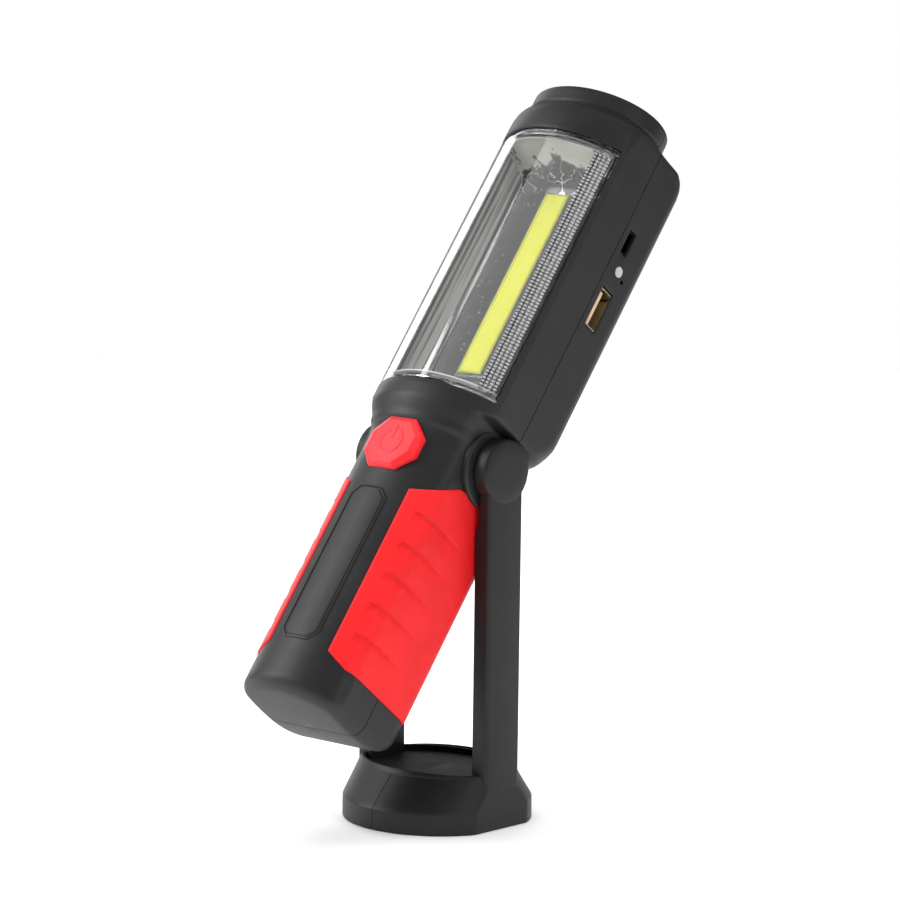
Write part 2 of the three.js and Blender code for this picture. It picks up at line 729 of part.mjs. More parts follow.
function makeStandHalves() {
  const { halfWidth, armInner, hubInner, neckBelowPivot } = STAND;
  const neck = PIVOT_HEIGHT - neckBelowPivot;
  const base = baseOutside(0, 0, BASE.height);
  const recess = baseOutside(BASE.rimWidth * 1.6, BASE.recessFloor, 40);
  const recessBetweenArms = recess.intersect(box(-armInner, armInner, -40, 40, 0, 40));
  const pocket = rodZ(BASE.pocketRadius, -1, BASE.pocketHeight, 0, 0, 32);
  const posts = COVER_SCREW_PLACES.map(({ x, y }) => rodZ(POST_RADIUS, COVER.top + 0.1, 13, x, y));
  const pilots = COVER_SCREW_PLACES.map(({ x, y }) => rodZ(SCREW.shankRadius + 0.1, -1, 11, x, y));
  const puck = cut(join(cut(base, recessBetweenArms, pocket), ...posts), ...pilots);
  const sides = [["right", 1], ["left", -1]];
  for (const [suffix, side] of sides) {
    const arm = prismX(armOutline(), ...mirrored(side, armInner, halfWidth), 8);
    const neckRoom = box(...mirrored(side, armInner - 1, hubInner), -20, 20, neck, 150);
    const bore = rodX(PIN.radius + 0.15, ...mirrored(side, armInner - 1, PIN.outer + 0.3), 0, PIVOT_HEIGHT, 16);
    const half = box(...mirrored(side, BASE.seam, halfWidth), -40, 40, 0, 40);
    const body = cut(join(puck.intersect(half), cut(arm, pocket)), neckRoom, bore);
    addNode(light, "stand_" + suffix, body, BLACK_ABS);
  }
}

// The hook's wire: a straight pivot bar, one leg, a half circle and a short free end.
function hookRoute() {
  const { halfSpan, pivotY, height, tipY } = HOOK;
  const bend = 2.6;
  const path = new THREE.CurvePath();
  const at = (x, y) => new THREE.Vector3(x, y, height);
  path.add(new THREE.LineCurve3(at(3, pivotY), at(halfSpan - bend, pivotY)));
  path.add(
    new THREE.QuadraticBezierCurve3(at(halfSpan - bend, pivotY), at(halfSpan, pivotY), at(halfSpan, pivotY - bend)),
  );
  path.add(new THREE.LineCurve3(at(halfSpan, pivotY - bend), at(halfSpan, 0)));
  const quarter = halfSpan * 0.5523;
  path.add(
    new THREE.CubicBezierCurve3(at(halfSpan, 0), at(halfSpan, -quarter), at(quarter, -halfSpan), at(0, -halfSpan)),
  );
  path.add(
    new THREE.CubicBezierCurve3(at(0, -halfSpan), at(-quarter, -halfSpan), at(-halfSpan, -quarter), at(-halfSpan, 0)),
  );
  path.add(new THREE.LineCurve3(at(-halfSpan, 0), at(-halfSpan, tipY)));
  return path;
}

function makeHook() {
  const geometry = new THREE.ExtrudeGeometry(disc(HOOK.wire), {
    steps: 56,
    curveSegments: 4,
    extrudePath: hookRoute(),
  });
  addNode(light, "hanging_hook", solid(geometry), STEEL);
}

function makeBase() {
  const { radius, bottom, top } = COVER;
  const slotDepth = HOOK.height + HOOK.wire + 0.5;
  const slotHalf = HOOK.wire + 0.75;
  const hookRing = cut(
    rodZ(HOOK.halfSpan + slotHalf, bottom - 1, slotDepth, 0, 0, 32),
    rodZ(HOOK.halfSpan - slotHalf, bottom - 2, slotDepth + 1, 0, 0, 32),
    box(-30, 30, 0, 30, -5, 20),
  );
  const reach = HOOK.halfSpan + slotHalf;
  const legs = join(
    box(HOOK.halfSpan - slotHalf, reach, -0.1, HOOK.pivotY + slotHalf, bottom - 1, slotDepth),
    box(-reach, slotHalf - HOOK.halfSpan, -0.1, HOOK.tipY + 3, bottom - 1, slotDepth),
    box(1.6, reach, HOOK.pivotY - slotHalf, HOOK.pivotY + slotHalf, bottom - 1, slotDepth),
  );
  const magnetPocket = rodZ(MAGNET.radius + 0.1, bottom - 1, MAGNET.top + 0.1, 0, 0, 24);
  const screwRoom = COVER_SCREW_PLACES.map(({ x, y }) =>
    join(
      rodZ(SCREW.headRadius + 0.2, bottom - 1, bottom + 2.2, x, y),
      rodZ(SCREW.shankRadius + 0.1, bottom - 1, top + 1, x, y),
    ),
  );
  const plate = rodZ(radius, bottom, top, 0, 0, 32);
  const cover = cut(plate, hookRing, legs, magnetPocket, ...screwRoom);
  addNode(light, "base_cover", cover, BLACK_ABS);
  const magnet = rodZ(MAGNET.radius, MAGNET.bottom, MAGNET.top, 0, 0, 24);
  addNode(light, "base_magnet", magnet, MAGNET_NICKEL);
  const ballast = rodZ(BALLAST_RADIUS, top + 0.1, BASE.pocketHeight - 0.2, 0, 0, 24);
  addNode(light, "steel_ballast", ballast, STEEL);
  COVER_SCREW_PLACES.forEach(({ x, y }, index) => {
    const head = rodZ(SCREW.headRadius, bottom + 0.5, bottom + 2.1, x, y);
    const shank = rodZ(SCREW.shankRadius, bottom + 1, 10.2, x, y, 8);
    addNode(light, "cover_screw_" + (index + 1), head.add(shank), STEEL);
  });
}

makeShells();
makeShellScrews();
makeWindow();
makeReflector();
makeCobStrip();
makeTorch();
makeElectronics();
makeBattery();
makeWires();
makeSwitch();
makeButton();
makeHandleTrim();
makePivots();
makeStandHalves();
makeHook();
makeBase();

export default light;
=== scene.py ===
"""Looks of a cordless work light: a lamp that tilts in a forked stand on a round base.

Lengths in the helpers are millimetres. The lamp is worked out in its own axes, with the origin on the pivot:
x across, v towards the back and w along the lamp. to_rest() turns those into the place at rest, in metres.
"""

import json
import math

import bmesh
import bpy
import numpy as np
from mathutils import Matrix, Vector


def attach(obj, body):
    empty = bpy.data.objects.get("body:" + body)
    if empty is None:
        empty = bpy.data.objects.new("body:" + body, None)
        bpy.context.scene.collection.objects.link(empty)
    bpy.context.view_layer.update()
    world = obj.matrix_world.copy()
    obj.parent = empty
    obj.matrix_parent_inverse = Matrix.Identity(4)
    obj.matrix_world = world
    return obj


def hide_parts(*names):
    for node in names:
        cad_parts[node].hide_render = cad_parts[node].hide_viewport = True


bl_info = {
    "name": "Work light",
    "version": (1, 0, 0),
    "blender": (4, 5, 0),
    "location": "View3D > Sidebar > Work light",
    "description": "Builds the visible pieces of a cordless work light around its solid model",
    "category": "Object",
}

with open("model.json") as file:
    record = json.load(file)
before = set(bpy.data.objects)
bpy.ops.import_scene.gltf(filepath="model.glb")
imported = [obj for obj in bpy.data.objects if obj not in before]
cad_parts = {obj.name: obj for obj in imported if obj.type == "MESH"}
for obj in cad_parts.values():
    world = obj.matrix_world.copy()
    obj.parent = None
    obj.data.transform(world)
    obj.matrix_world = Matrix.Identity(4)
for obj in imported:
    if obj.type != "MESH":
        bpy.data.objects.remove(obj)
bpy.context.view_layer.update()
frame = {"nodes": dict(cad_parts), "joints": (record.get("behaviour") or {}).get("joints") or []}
NODES = frame["nodes"]
JOINTS = {joint["name"]: joint for joint in frame["joints"]}

MM = 0.001
ROUGHNESS_SPREAD = 0.06
SHARP_ANGLE = 35.0
PIVOT_HEIGHT = JOINTS["lamp_tilt"]["pos_m"][2] / MM
REST_TILT = math.atan2(-JOINTS["power_press"]["axis"][2], JOINTS["power_press"]["axis"][1])


# ---- lamp outline -------------------------------------------------------------------

# Height along the lamp, then half width, front radius, front face, back face, back and front corner radius
LAMP_STATIONS = np.array(
    [
        (-100.0, 19.8, 26.7, -22.0, 17.9, 6.0, 6.0),
        (0.2, 19.8, 26.7, -22.0, 17.9, 6.0, 6.0),
        (1.4, 19.9, 27.6, -22.7, 17.9, 6.0, 6.0),
        (2.6, 20.2, 28.6, -23.6, 17.9, 6.0, 6.0),
        (4.6, 20.4, 29.4, -24.0, 17.9, 6.0, 6.0),
        (6.6, 21.2, 31.0, -24.9, 17.9, 6.0, 6.0),
        (8.4, 21.6, 32.2, -25.6, 17.9, 7.0, 6.0),
        (9.4, 21.7, 32.3, -25.8, 17.9, 8.0, 6.0),
        (9.9, 22.3, 32.3, -25.8, 17.9, 10.5, 6.0),
        (10.6, 24.6, 32.3, -25.8, 17.9, 10.5, 5.0),
        (11.6, 25.3, 32.3, -25.8, 18.0, 10.0, 4.0),
        (14.2, 25.4, 32.3, -25.8, 18.3, 7.5, 0.9),
        (18.0, 25.4, 32.3, -25.8, 18.5, 5.0, 0.9),
        (107.2, 25.4, 32.3, -25.8, 18.5, 5.0, 0.9),
        (111.0, 25.4, 32.3, -25.8, 18.5, 5.0, 5.0),
        (113.0, 25.4, 32.2, -25.7, 18.3, 5.4, 5.0),
        (115.0, 25.4, 31.6, -25.4, 17.8, 6.2, 5.0),
        (116.4, 25.2, 30.6, -24.8, 17.0, 7.0, 5.0),
        (117.4, 24.9, 29.6, -24.0, 16.0, 7.6, 5.0),
        (130.0, 24.9, 29.6, -24.0, 16.0, 7.6, 5.0),
    ]
)
TORCH_CENTRE = -4.3
RING_HALF_WIDTH, RING_HALF_DEPTH = 24.2, 18.6
SEAM_DEPTH = 0.7
FOOT_EDGE = -92.3


def station_values(w):
    """The six outline numbers at heights w: straight runs between the stations, averaged over 0.9 mm."""
    taps = (-0.45, -0.22, 0.0, 0.22, 0.45)
    return [
        sum(np.interp(w + tap, LAMP_STATIONS[:, 0], LAMP_STATIONS[:, k]) for tap in taps) / len(taps)
        for k in range(1, 7)
    ]


def outline_point(around, w, inset=0.0):
    """Point of the lamp's outline. around runs 0 to 5 from the middle of the front to the middle of the
    back: 0-0.9 the front arc, 0.9-1.1 the corner arc that joins it to the side, up to 2 the side as far as
    the shell joint, 2-3 the side behind it, 3-4 the back corner's arc, 4-5 the flat back; negative values
    mirror it. inset moves the whole outline inwards. Above the head it turns into the torch ring's ellipse."""
    half, radius, front, back, corner, blend = station_values(w)
    centre = front + radius
    half, radius, back = half - inset, radius - inset, back - inset
    corner, blend = np.maximum(corner - inset, 0.5), np.maximum(blend - inset, 0.3)
    a = np.abs(around)
    reach = np.arcsin(np.clip((half - blend) / (radius - blend), -1, 1))
    turn = np.clip(a / 0.9, 0, 1) * reach
    x = radius * np.sin(turn)
    v = centre - radius * np.cos(turn)
    side_front = centre - (radius - blend) * np.cos(reach)
    side_back = np.maximum(back - corner, SEAM_DEPTH + 0.05)
    bend = reach + (np.clip(a, 0.9, 1.1) - 0.9) / 0.2 * (math.pi / 2 - reach)
    x = np.where(a > 0.9, half - blend + blend * np.sin(bend), x)
    v = np.where(a > 0.9, side_front - blend * np.cos(bend), v)
    v = np.where(a > 1.1, side_front + (np.clip(a, 1.1, 2) - 1.1) / 0.9 * (SEAM_DEPTH - side_front), v)
    v = np.where(a > 2, SEAM_DEPTH + (np.clip(a, 2, 3) - 2) * (side_back - SEAM_DEPTH), v)
    bend = (np.clip(a, 3, 4) - 3) * math.pi / 2
    x = np.where(a > 3, half - corner + corner * np.cos(bend), x)
    v = np.where(a > 3, back - corner + corner * np.sin(bend), v)
    x = np.where(a > 4, (half - corner) * (5 - a), x)
    share = np.interp(w, [116.7, 117.3, 117.9, 118.4], [0.0, 0.3, 0.85, 1.0])
    deeper = inset + 0.45 * np.exp(-(((w - 118.6) / 0.4) ** 2))
    angle = np.arctan2(x, TORCH_CENTRE - v)
    ring_reach = 1 / np.hypot(
        np.sin(angle) / (RING_HALF_WIDTH - deeper), np.cos(angle) / (RING_HALF_DEPTH - deeper)
    )
    x = x + (ring_reach * np.sin(angle) - x) * share
    v = v + (TORCH_CENTRE - ring_reach * np.cos(angle) - v) * share
    return x * np.where(around < 0, -1.0, 1.0), v


def front_share(x, w):
    """The value of around at a place x on the front arc at height w."""
    half, radius, _, _, _, blend = (float(value) for value in station_values(np.array(w)))
    return 0.9 * math.asin(x / radius) / math.asin((half - blend) / (radius - blend))


def front_depth(x, w):
    """Depth v of the bowed front at a place (x, w): the front arc's circle."""
    radius, front = station_values(w)[1:3]
    return front + radius - np.sqrt(np.maximum(radius**2 - x**2, 1.0))


def side_fraction(v, w):
    """The value of around on the side wall at depth v and height w, for placing openings."""
    half, radius, front, back, corner, blend = (float(value) for value in station_values(np.array(w)))
    side_front = front + radius - math.sqrt((radius - blend) ** 2 - (half - blend) ** 2)
    if v < SEAM_DEPTH:
        return 1.1 + 0.9 * (v - side_front) / (SEAM_DEPTH - side_front)
    return 2 + (v - SEAM_DEPTH) / (back - corner - SEAM_DEPTH)


def to_rest(points):
    """Lamp axes in millimetres to the part's frame in metres: a turn by the rest tilt, then a lift to the
    pivot."""
    points = np.asarray(points, float)
    x, v, w = points[..., 0], points[..., 1], points[..., 2]
    c, s = math.cos(REST_TILT), math.sin(REST_TILT)
    return np.stack([x, v * c + w * s, PIVOT_HEIGHT + w * c - v * s], -1) * MM


def upright(points):
    """Millimetres in the part's frame to metres."""
    return np.asarray(points, float) * MM


# ---- mesh helpers -------------------------------------------------------------------


def grid_faces(rows, columns, keep=None, wrap_rows=False, wrap_columns=False):
    """Quads of a grid of points in row-major order, as rows of four indices. keep masks the cells to use."""
    r, c = np.meshgrid(
        np.arange(rows if wrap_rows else rows - 1),
        np.arange(columns if wrap_columns else columns - 1),
        indexing="ij",
    )
    up, over = (r + 1) % rows, (c + 1) % columns
    quads = np.stack([r * columns + c, r * columns + over, up * columns + over, up * columns + c], -1)
    return quads.reshape(-1, 4) if keep is None else quads[keep]


def new_piece(name, points, faces, body, material, sharp=SHARP_ANGLE):
    """A mesh object from an array of points and an array or list of faces, riding on a body."""
    mesh = bpy.data.meshes.new(name)
    mesh.from_pydata(np.asarray(points).reshape(-1, 3).tolist(), [], [list(face) for face in faces])
    mesh.update()
    tidy_mesh(mesh)
    piece = bpy.data.objects.new(name, mesh)
    bpy.context.scene.collection.objects.link(piece)
    mesh.materials.append(material)
    shade(mesh, sharp)
    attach(piece, body)
    return piece


def tidy_mesh(mesh):
    """Merges doubled points, drops empty faces and turns every face outwards."""
    work = bmesh.new()
    work.from_mesh(mesh)
    bmesh.ops.remove_doubles(work, verts=work.verts, dist=2e-6)
    bmesh.ops.dissolve_degenerate(work, edges=work.edges, dist=1e-6)
    bmesh.ops.recalc_face_normals(work, faces=work.faces)
    work.to_mesh(mesh)
    work.free()


def shade(mesh, angle):
    """Smooth shading, with the edges that turn by more than this many degrees kept sharp."""
    mesh.polygons.foreach_set("use_smooth", np.ones(len(mesh.polygons), bool))
    mesh.set_sharp_from_angle(angle=math.radians(angle))


def finish_modifiers(piece, sharp=SHARP_ANGLE):
    """Makes the piece's modifiers real and shades the result."""
    graph = bpy.context.evaluated_depsgraph_get()
    made = bpy.data.meshes.new_from_object(piece.evaluated_get(graph), depsgraph=graph)
    piece.modifiers.clear()
    old = piece.data
    piece.data = made
    bpy.data.meshes.remove(old)
    shade(piece.data, sharp)
    return piece


def thicken(piece, millimetres, offset=-1.0):
    """Gives a surface a wall: behind it at offset -1, and half on each side of it at offset 0."""
    wall = piece.modifiers.new("wall", "SOLIDIFY")
    wall.thickness = millimetres * MM
    wall.offset = offset
    wall.use_even_offset = False
    return piece


def soften(piece, millimetres, angle):
    """Rounds the edges that turn by more than this many degrees, over a width in two steps."""
    edge = piece.modifiers.new("edge", "BEVEL")
    edge.width = millimetres * MM
    edge.segments = 2
    edge.limit_method = "ANGLE"
    edge.angle_limit = math.radians(angle)
    edge.use_clamp_overlap = True
    return piece


def merge_meshes(parts):
    """Several (points, faces) pairs as one pair."""
    points, faces, count = [], [], 0
    for part_points, part_faces in parts:
        part_points = np.asarray(part_points).reshape(-1, 3)
        points.append(part_points)
        faces.extend([[index + count for index in face] for face in part_faces])
        count += len(part_points)
    return np.concatenate(points), faces


def spun(profile, axis, centre, segments=64):
    """A profile of (distance along the axis, radius) carried round an axis: every ring is a circle. The ends
    close where the radius is nought."""
    profile = np.asarray(profile, float)
    angle = np.arange(segments) * 2 * math.pi / segments
    along = profile[:, 0][:, None] + 0 * angle
    ring_a = profile[:, 1][:, None] * np.cos(angle)
    ring_b = profile[:, 1][:, None] * np.sin(angle)
    parts = {"x": (along, ring_a, ring_b), "v": (ring_b, along, ring_a), "z": (ring_a, ring_b, along)}[axis]
    points = np.stack(parts, -1) + np.asarray(centre, float)
    return points, grid_faces(len(profile), segments, wrap_columns=True)


def swept(path, radius, sides=16):
    """A round tube along a path: at each point a circle square to the path's direction, its axes carried
    along so that they don't twist. Both ends are closed with a small dome."""
    path = np.asarray(path, float)
    tangent = np.gradient(path, axis=0)
    tangent /= np.linalg.norm(tangent, axis=1)[:, None]
    first = np.cross(tangent[0], (0.0, 0.0, 1.0))
    if np.linalg.norm(first) < 1e-3:
        first = np.cross(tangent[0], (0.0, 1.0, 0.0))
    normals = [first / np.linalg.norm(first)]
    for direction in tangent[1:]:
        across = normals[-1] - direction * np.dot(normals[-1], direction)
        normals.append(across / np.linalg.norm(across))
    normals = np.array(normals)
    other = np.cross(tangent, normals)
    angle = np.arange(sides) * 2 * math.pi / sides
    circle = normals[:, None] * np.cos(angle)[:, None] + other[:, None] * np.sin(angle)[:, None]
    tube = path[:, None] + radius * circle
    caps = []
    for end, sign in ((0, -1.0), (-1, 1.0)):
        turn = np.linspace(0, math.pi / 2, 5)[1:]
        dome = (
            path[end]
            + radius * np.cos(turn)[:, None, None] * circle[end]
            + sign * radius * np.sin(turn)[:, None, None] * tangent[end]
        )
        caps.append(dome)
    points = np.concatenate([caps[0][::-1], tube, caps[1]])
    return points, grid_faces(len(points), sides, wrap_columns=True)


# ---- materials ----------------------------------------------------------------------


def linear(code):
    """An sRGB hex colour as linear red, green, blue and alpha."""
    values = np.array([int(code[i : i + 2], 16) for i in (1, 3, 5)]) / 255
    low = values <= 0.04045
    return (*np.where(low, values / 12.92, ((values + 0.055) / 1.055) ** 2.4).tolist(), 1.0)


def add_node(tree, kind, inputs=None, **settings):
    """A node with its settings. Each input is given another node, whose first output is linked to it, an
    output socket, which is linked too, or a plain value."""
    node = tree.nodes.new(kind)
    for key, value in settings.items():
        setattr(node, key, value)
    for key, value in (inputs or {}).items():
        source = value.outputs[0] if isinstance(value, bpy.types.Node) else value
        if isinstance(source, bpy.types.NodeSocket):
            tree.links.new(source, node.inputs[key])
        else:
            node.inputs[key].default_value = source
    return node


def material_start(name, values):
    """A material whose tree holds a Principled shader with its constants, and the Object coordinates."""
    material = bpy.data.materials.new(name)
    material.use_nodes = True
    tree = material.node_tree
    tree.nodes.clear()
    shader = add_node(tree, "ShaderNodeBsdfPrincipled", values)
    add_node(tree, "ShaderNodeOutputMaterial", {"Surface": shader})
    place = add_node(tree, "ShaderNodeTexCoord").outputs["Object"]
    return material, tree, shader, place


def feed(tree, shader, sources):
    """Links each named input of the shader to a node's first output or to a socket."""
    for key, source in sources.items():
        socket = source.outputs[0] if isinstance(source, bpy.types.Node) else source
        tree.links.new(socket, shader.inputs[key])


def per_mm(size):
    """The scale of a pattern on metres whose features are about this many millimetres across."""
    return 1.0 / (size * MM)


def dress(tree, shader, tones, cloud, grains, gloss, depth):
    """Dresses a surface: its colour goes between two tones with a cloud pattern, and a pattern of grains leads
    its roughness over the gloss range and its relief of so many millimetres."""
    light, dark = (linear(tone) for tone in tones)
    share = add_node(tree, "ShaderNodeMapRange", {"Value": cloud, "From Min": 0.35, "From Max": 0.65})
    colour = add_node(tree, "ShaderNodeMix", {"Factor": share, 6: light, 7: dark}, data_type="RGBA")
    rough = add_node(
        tree,
        "ShaderNodeMapRange",
        {"Value": grains, "From Min": 0.3, "From Max": 0.7, "To Min": gloss[0], "To Max": gloss[1]},
    )
    relief = add_node(tree, "ShaderNodeBump", {"Height": grains, "Strength": 1.0, "Distance": depth * MM})
    feed(tree, shader, {"Base Color": colour.outputs[2], "Roughness": rough, "Normal": relief})


def moulded(name, light, dark, roughness, grain_size, depth, ior=1.5, coat=0.0, specular=0.5):
    """A moulded plastic or rubber: two close tones over some 14 mm, and a spark-eroded skin of grains."""
    material, tree, shader, place = material_start(
        name, {"IOR": ior, "Coat Weight": coat, "Coat Roughness": 0.25, "Specular IOR Level": specular}
    )
    cloud = add_node(
        tree, "ShaderNodeTexNoise", {"Vector": place, "Scale": per_mm(14.0), "Detail": 2.0, "Roughness": 0.5}
    )
    skin = add_node(
        tree,
        "ShaderNodeTexNoise",
        {"Vector": place, "Scale": per_mm(grain_size), "Detail": 3.0, "Roughness": 0.6},
    )
    gloss = (roughness - ROUGHNESS_SPREAD, roughness + ROUGHNESS_SPREAD)
    dress(tree, shader, (light, dark), cloud, skin, gloss, depth)
    return material


def metal(name, light, dark, roughness, stretch=(1.0, 1.0, 1.0), size=1.2, depth=0.004):
    """A bare or plated metal: faint cloudiness and a drawn or brushed grain along one axis."""
    material, tree, shader, place = material_start(name, {"Metallic": 1.0})
    drawn = add_node(tree, "ShaderNodeMapping", {"Vector": place, "Scale": stretch})
    lines = add_node(
        tree, "ShaderNodeTexNoise", {"Vector": drawn, "Scale": per_mm(size), "Detail": 4.0, "Roughness": 0.6}
    )
    cloud = add_node(
        tree, "ShaderNodeTexNoise", {"Vector": place, "Scale": per_mm(9.0), "Detail": 2.0, "Roughness": 0.5}
    )
    dress(tree, shader, (light, dark), cloud, lines, (roughness * 0.7, roughness * 1.4), depth)
    return material


def clear(name, tint, ior, roughness=0.02):
    """Clear moulded plastic: see-through, with a slow waviness left by the mould."""
    material, tree, shader, place = material_start(
        name, {"Base Color": linear(tint), "IOR": ior, "Transmission Weight": 1.0}
    )
    wave = add_node(
        tree, "ShaderNodeTexNoise", {"Vector": place, "Scale": per_mm(22.0), "Detail": 1.0, "Roughness": 0.4}
    )
    fine = add_node(
        tree, "ShaderNodeTexNoise", {"Vector": place, "Scale": per_mm(3.0), "Detail": 2.0, "Roughness": 0.5}
    )
    gloss = add_node(
        tree,
        "ShaderNodeMapRange",
        {"Value": fine, "From Min": 0.3, "From Max": 0.7, "To Min": roughness, "To Max": roughness * 2.5},
    )
    relief = add_node(tree, "ShaderNodeBump", {"Height": wave, "Strength": 0.4, "Distance": 0.05 * MM})
    feed(tree, shader, {"Roughness": gloss, "Normal": relief})
    return material


class Finishes:
    """The materials, made once by make_finishes()."""


def make_finishes(colours):
    # ABS moulded in a spark-eroded tool: a black satin skin with a soft, wide highlight
    Finishes.abs = moulded(
        "moulded_abs", colours.abs_light, colours.abs_dark, 0.5, 0.45, 0.02, 1.53, specular=0.42
    )
    # The same plastic on the stand, painted a shade deeper: painted shade, a shaded copy of the ABS
    Finishes.stand_abs = moulded(
        "stand_abs", colours.stand_painted_shade_light, colours.stand_painted_shade_dark, 0.5, 0.45, 0.02, 1.53, specular=0.38
    )
    # The same plastic from a polished part of the tool: smoother, for the torch rim and small inner parts
    Finishes.satin_abs = moulded("satin_abs", colours.abs_light, colours.abs_dark, 0.36, 0.5, 0.008, 1.53)
    # Thermoplastic rubber: saturated red, matt, with a slightly powdery skin
    Finishes.rubber = moulded(
        "thermoplastic_rubber", colours.grip, colours.grip_dark, 0.52, 0.5, 0.02, 1.5, specular=0.3
    )
    # Silicone rubber key: the same red, a little smoother
    Finishes.key = moulded(
        "silicone_rubber", colours.button, colours.grip, 0.42, 0.6, 0.01, 1.45, specular=0.4
    )
    # Polycarbonate: clear, glossy, high index
    Finishes.clear = clear("clear_polycarbonate", "#ffffff", 1.585)
    # Aluminium vacuum-coated on plastic: a bright mirror that is slightly hazy
    Finishes.mirror = metal("vacuum_coated_aluminium", "#e6e8ea", "#dcdfe2", 0.09, size=6.0, depth=0.01)
    # Zinc-plated steel: cool grey, fine drawn lines
    Finishes.steel = metal("zinc_plated_steel", "#c3c6c8", "#a6aaad", 0.28, (1.0, 1.0, 0.2))
    # Nickel-plated sheet: warm bright grey
    Finishes.nickel = metal("nickel_plated_sheet", "#d3cfc4", "#beb9ac", 0.2, (1.0, 0.3, 1.0))
    # The same sheet painted dark, as painted shade of the socket's mouth: the small socket's liner
    Finishes.black_nickel = metal("black_nickel_sheet", "#3c3c3e", "#303032", 0.3, (1.0, 0.3, 1.0))
    # Gold-flashed contacts on their nylon tongue: pale warm gold
    Finishes.gold = moulded("gold_flashed_contacts", "#f0d3ab", "#dfba8a", 0.32, 0.9, 0.01)
    # Dark anodised aluminium board: grey, soft sheen
    Finishes.aluminium = metal("anodised_aluminium", "#56595b", "#494c4e", 0.3, (1.0, 0.15, 0.15))
    # Green solder mask over laminate: glossy lacquer with the weave faintly showing
    Finishes.board = moulded("solder_mask", "#1f6a44", "#174f33", 0.3, 0.8, 0.01, 1.55, 0.3)
    # White nylon, as on connector tongues and diode bodies: bright, faintly creamy, half glossy
    Finishes.white = moulded("white_nylon", "#f1f1ee", "#e2e2de", 0.35, 0.4, 0.006, 1.53)
    # Frosted acrylic light pipe: grey-white
    Finishes.frosted = moulded("frosted_acrylic", "#c6c7c9", "#b4b6b8", 0.3, 0.6, 0.006, 1.49)
    # Shrink sleeve on the cell: glossy blue film with slow waves
    Finishes.sleeve = moulded("shrink_sleeve", "#2f78bd", "#2a69a8", 0.3, 5.0, 0.03, 1.54, 0.3)
    # Vinyl wire insulation: red or black, half glossy
    Finishes.red_wire = moulded("red_wire_insulation", "#c22a22", "#a8211a", 0.4, 1.0, 0.01)
    Finishes.black_wire = moulded("black_wire_insulation", "#1c1c1e", "#141416", 0.4, 1.0, 0.01)
    Finishes.phosphor = make_phosphor(colours)
    Finishes.tray = make_tray()
    Finishes.prism = make_prism()
    Finishes.floor = make_floor()


def make_phosphor(colours):
    """Silicone filled with yellow phosphor: bright lemon, faintly mottled over 1.6 mm, half glossy."""
    material, tree, shader, place = material_start(
        "phosphor_silicone", {"IOR": 1.42, "Specular IOR Level": 0.4}
    )
    mottle = add_node(
        tree, "ShaderNodeTexNoise", {"Vector": place, "Scale": per_mm(1.6), "Detail": 3.0, "Roughness": 0.5}
    )
    tones = (colours.phosphor, colours.phosphor_dark)
    dress(tree, shader, tones, mottle, mottle, (0.34, 0.46), 0.02)
    return material


def lamp_place(tree, place):
    """The lamp's own axes in metres, from Object coordinates: the turn by the rest tilt taken back. Returns
    the place, its x across the lamp and its w along the lamp."""
    lift = PIVOT_HEIGHT * MM
    origin = (0.0, lift * math.sin(REST_TILT), -lift * math.cos(REST_TILT))
    axes = add_node(
        tree, "ShaderNodeMapping", {"Vector": place, "Rotation": (REST_TILT, 0.0, 0.0), "Location": origin}
    )
    split = add_node(tree, "ShaderNodeSeparateXYZ", {"Vector": axes})
    return axes, split.outputs["X"], split.outputs["Z"]


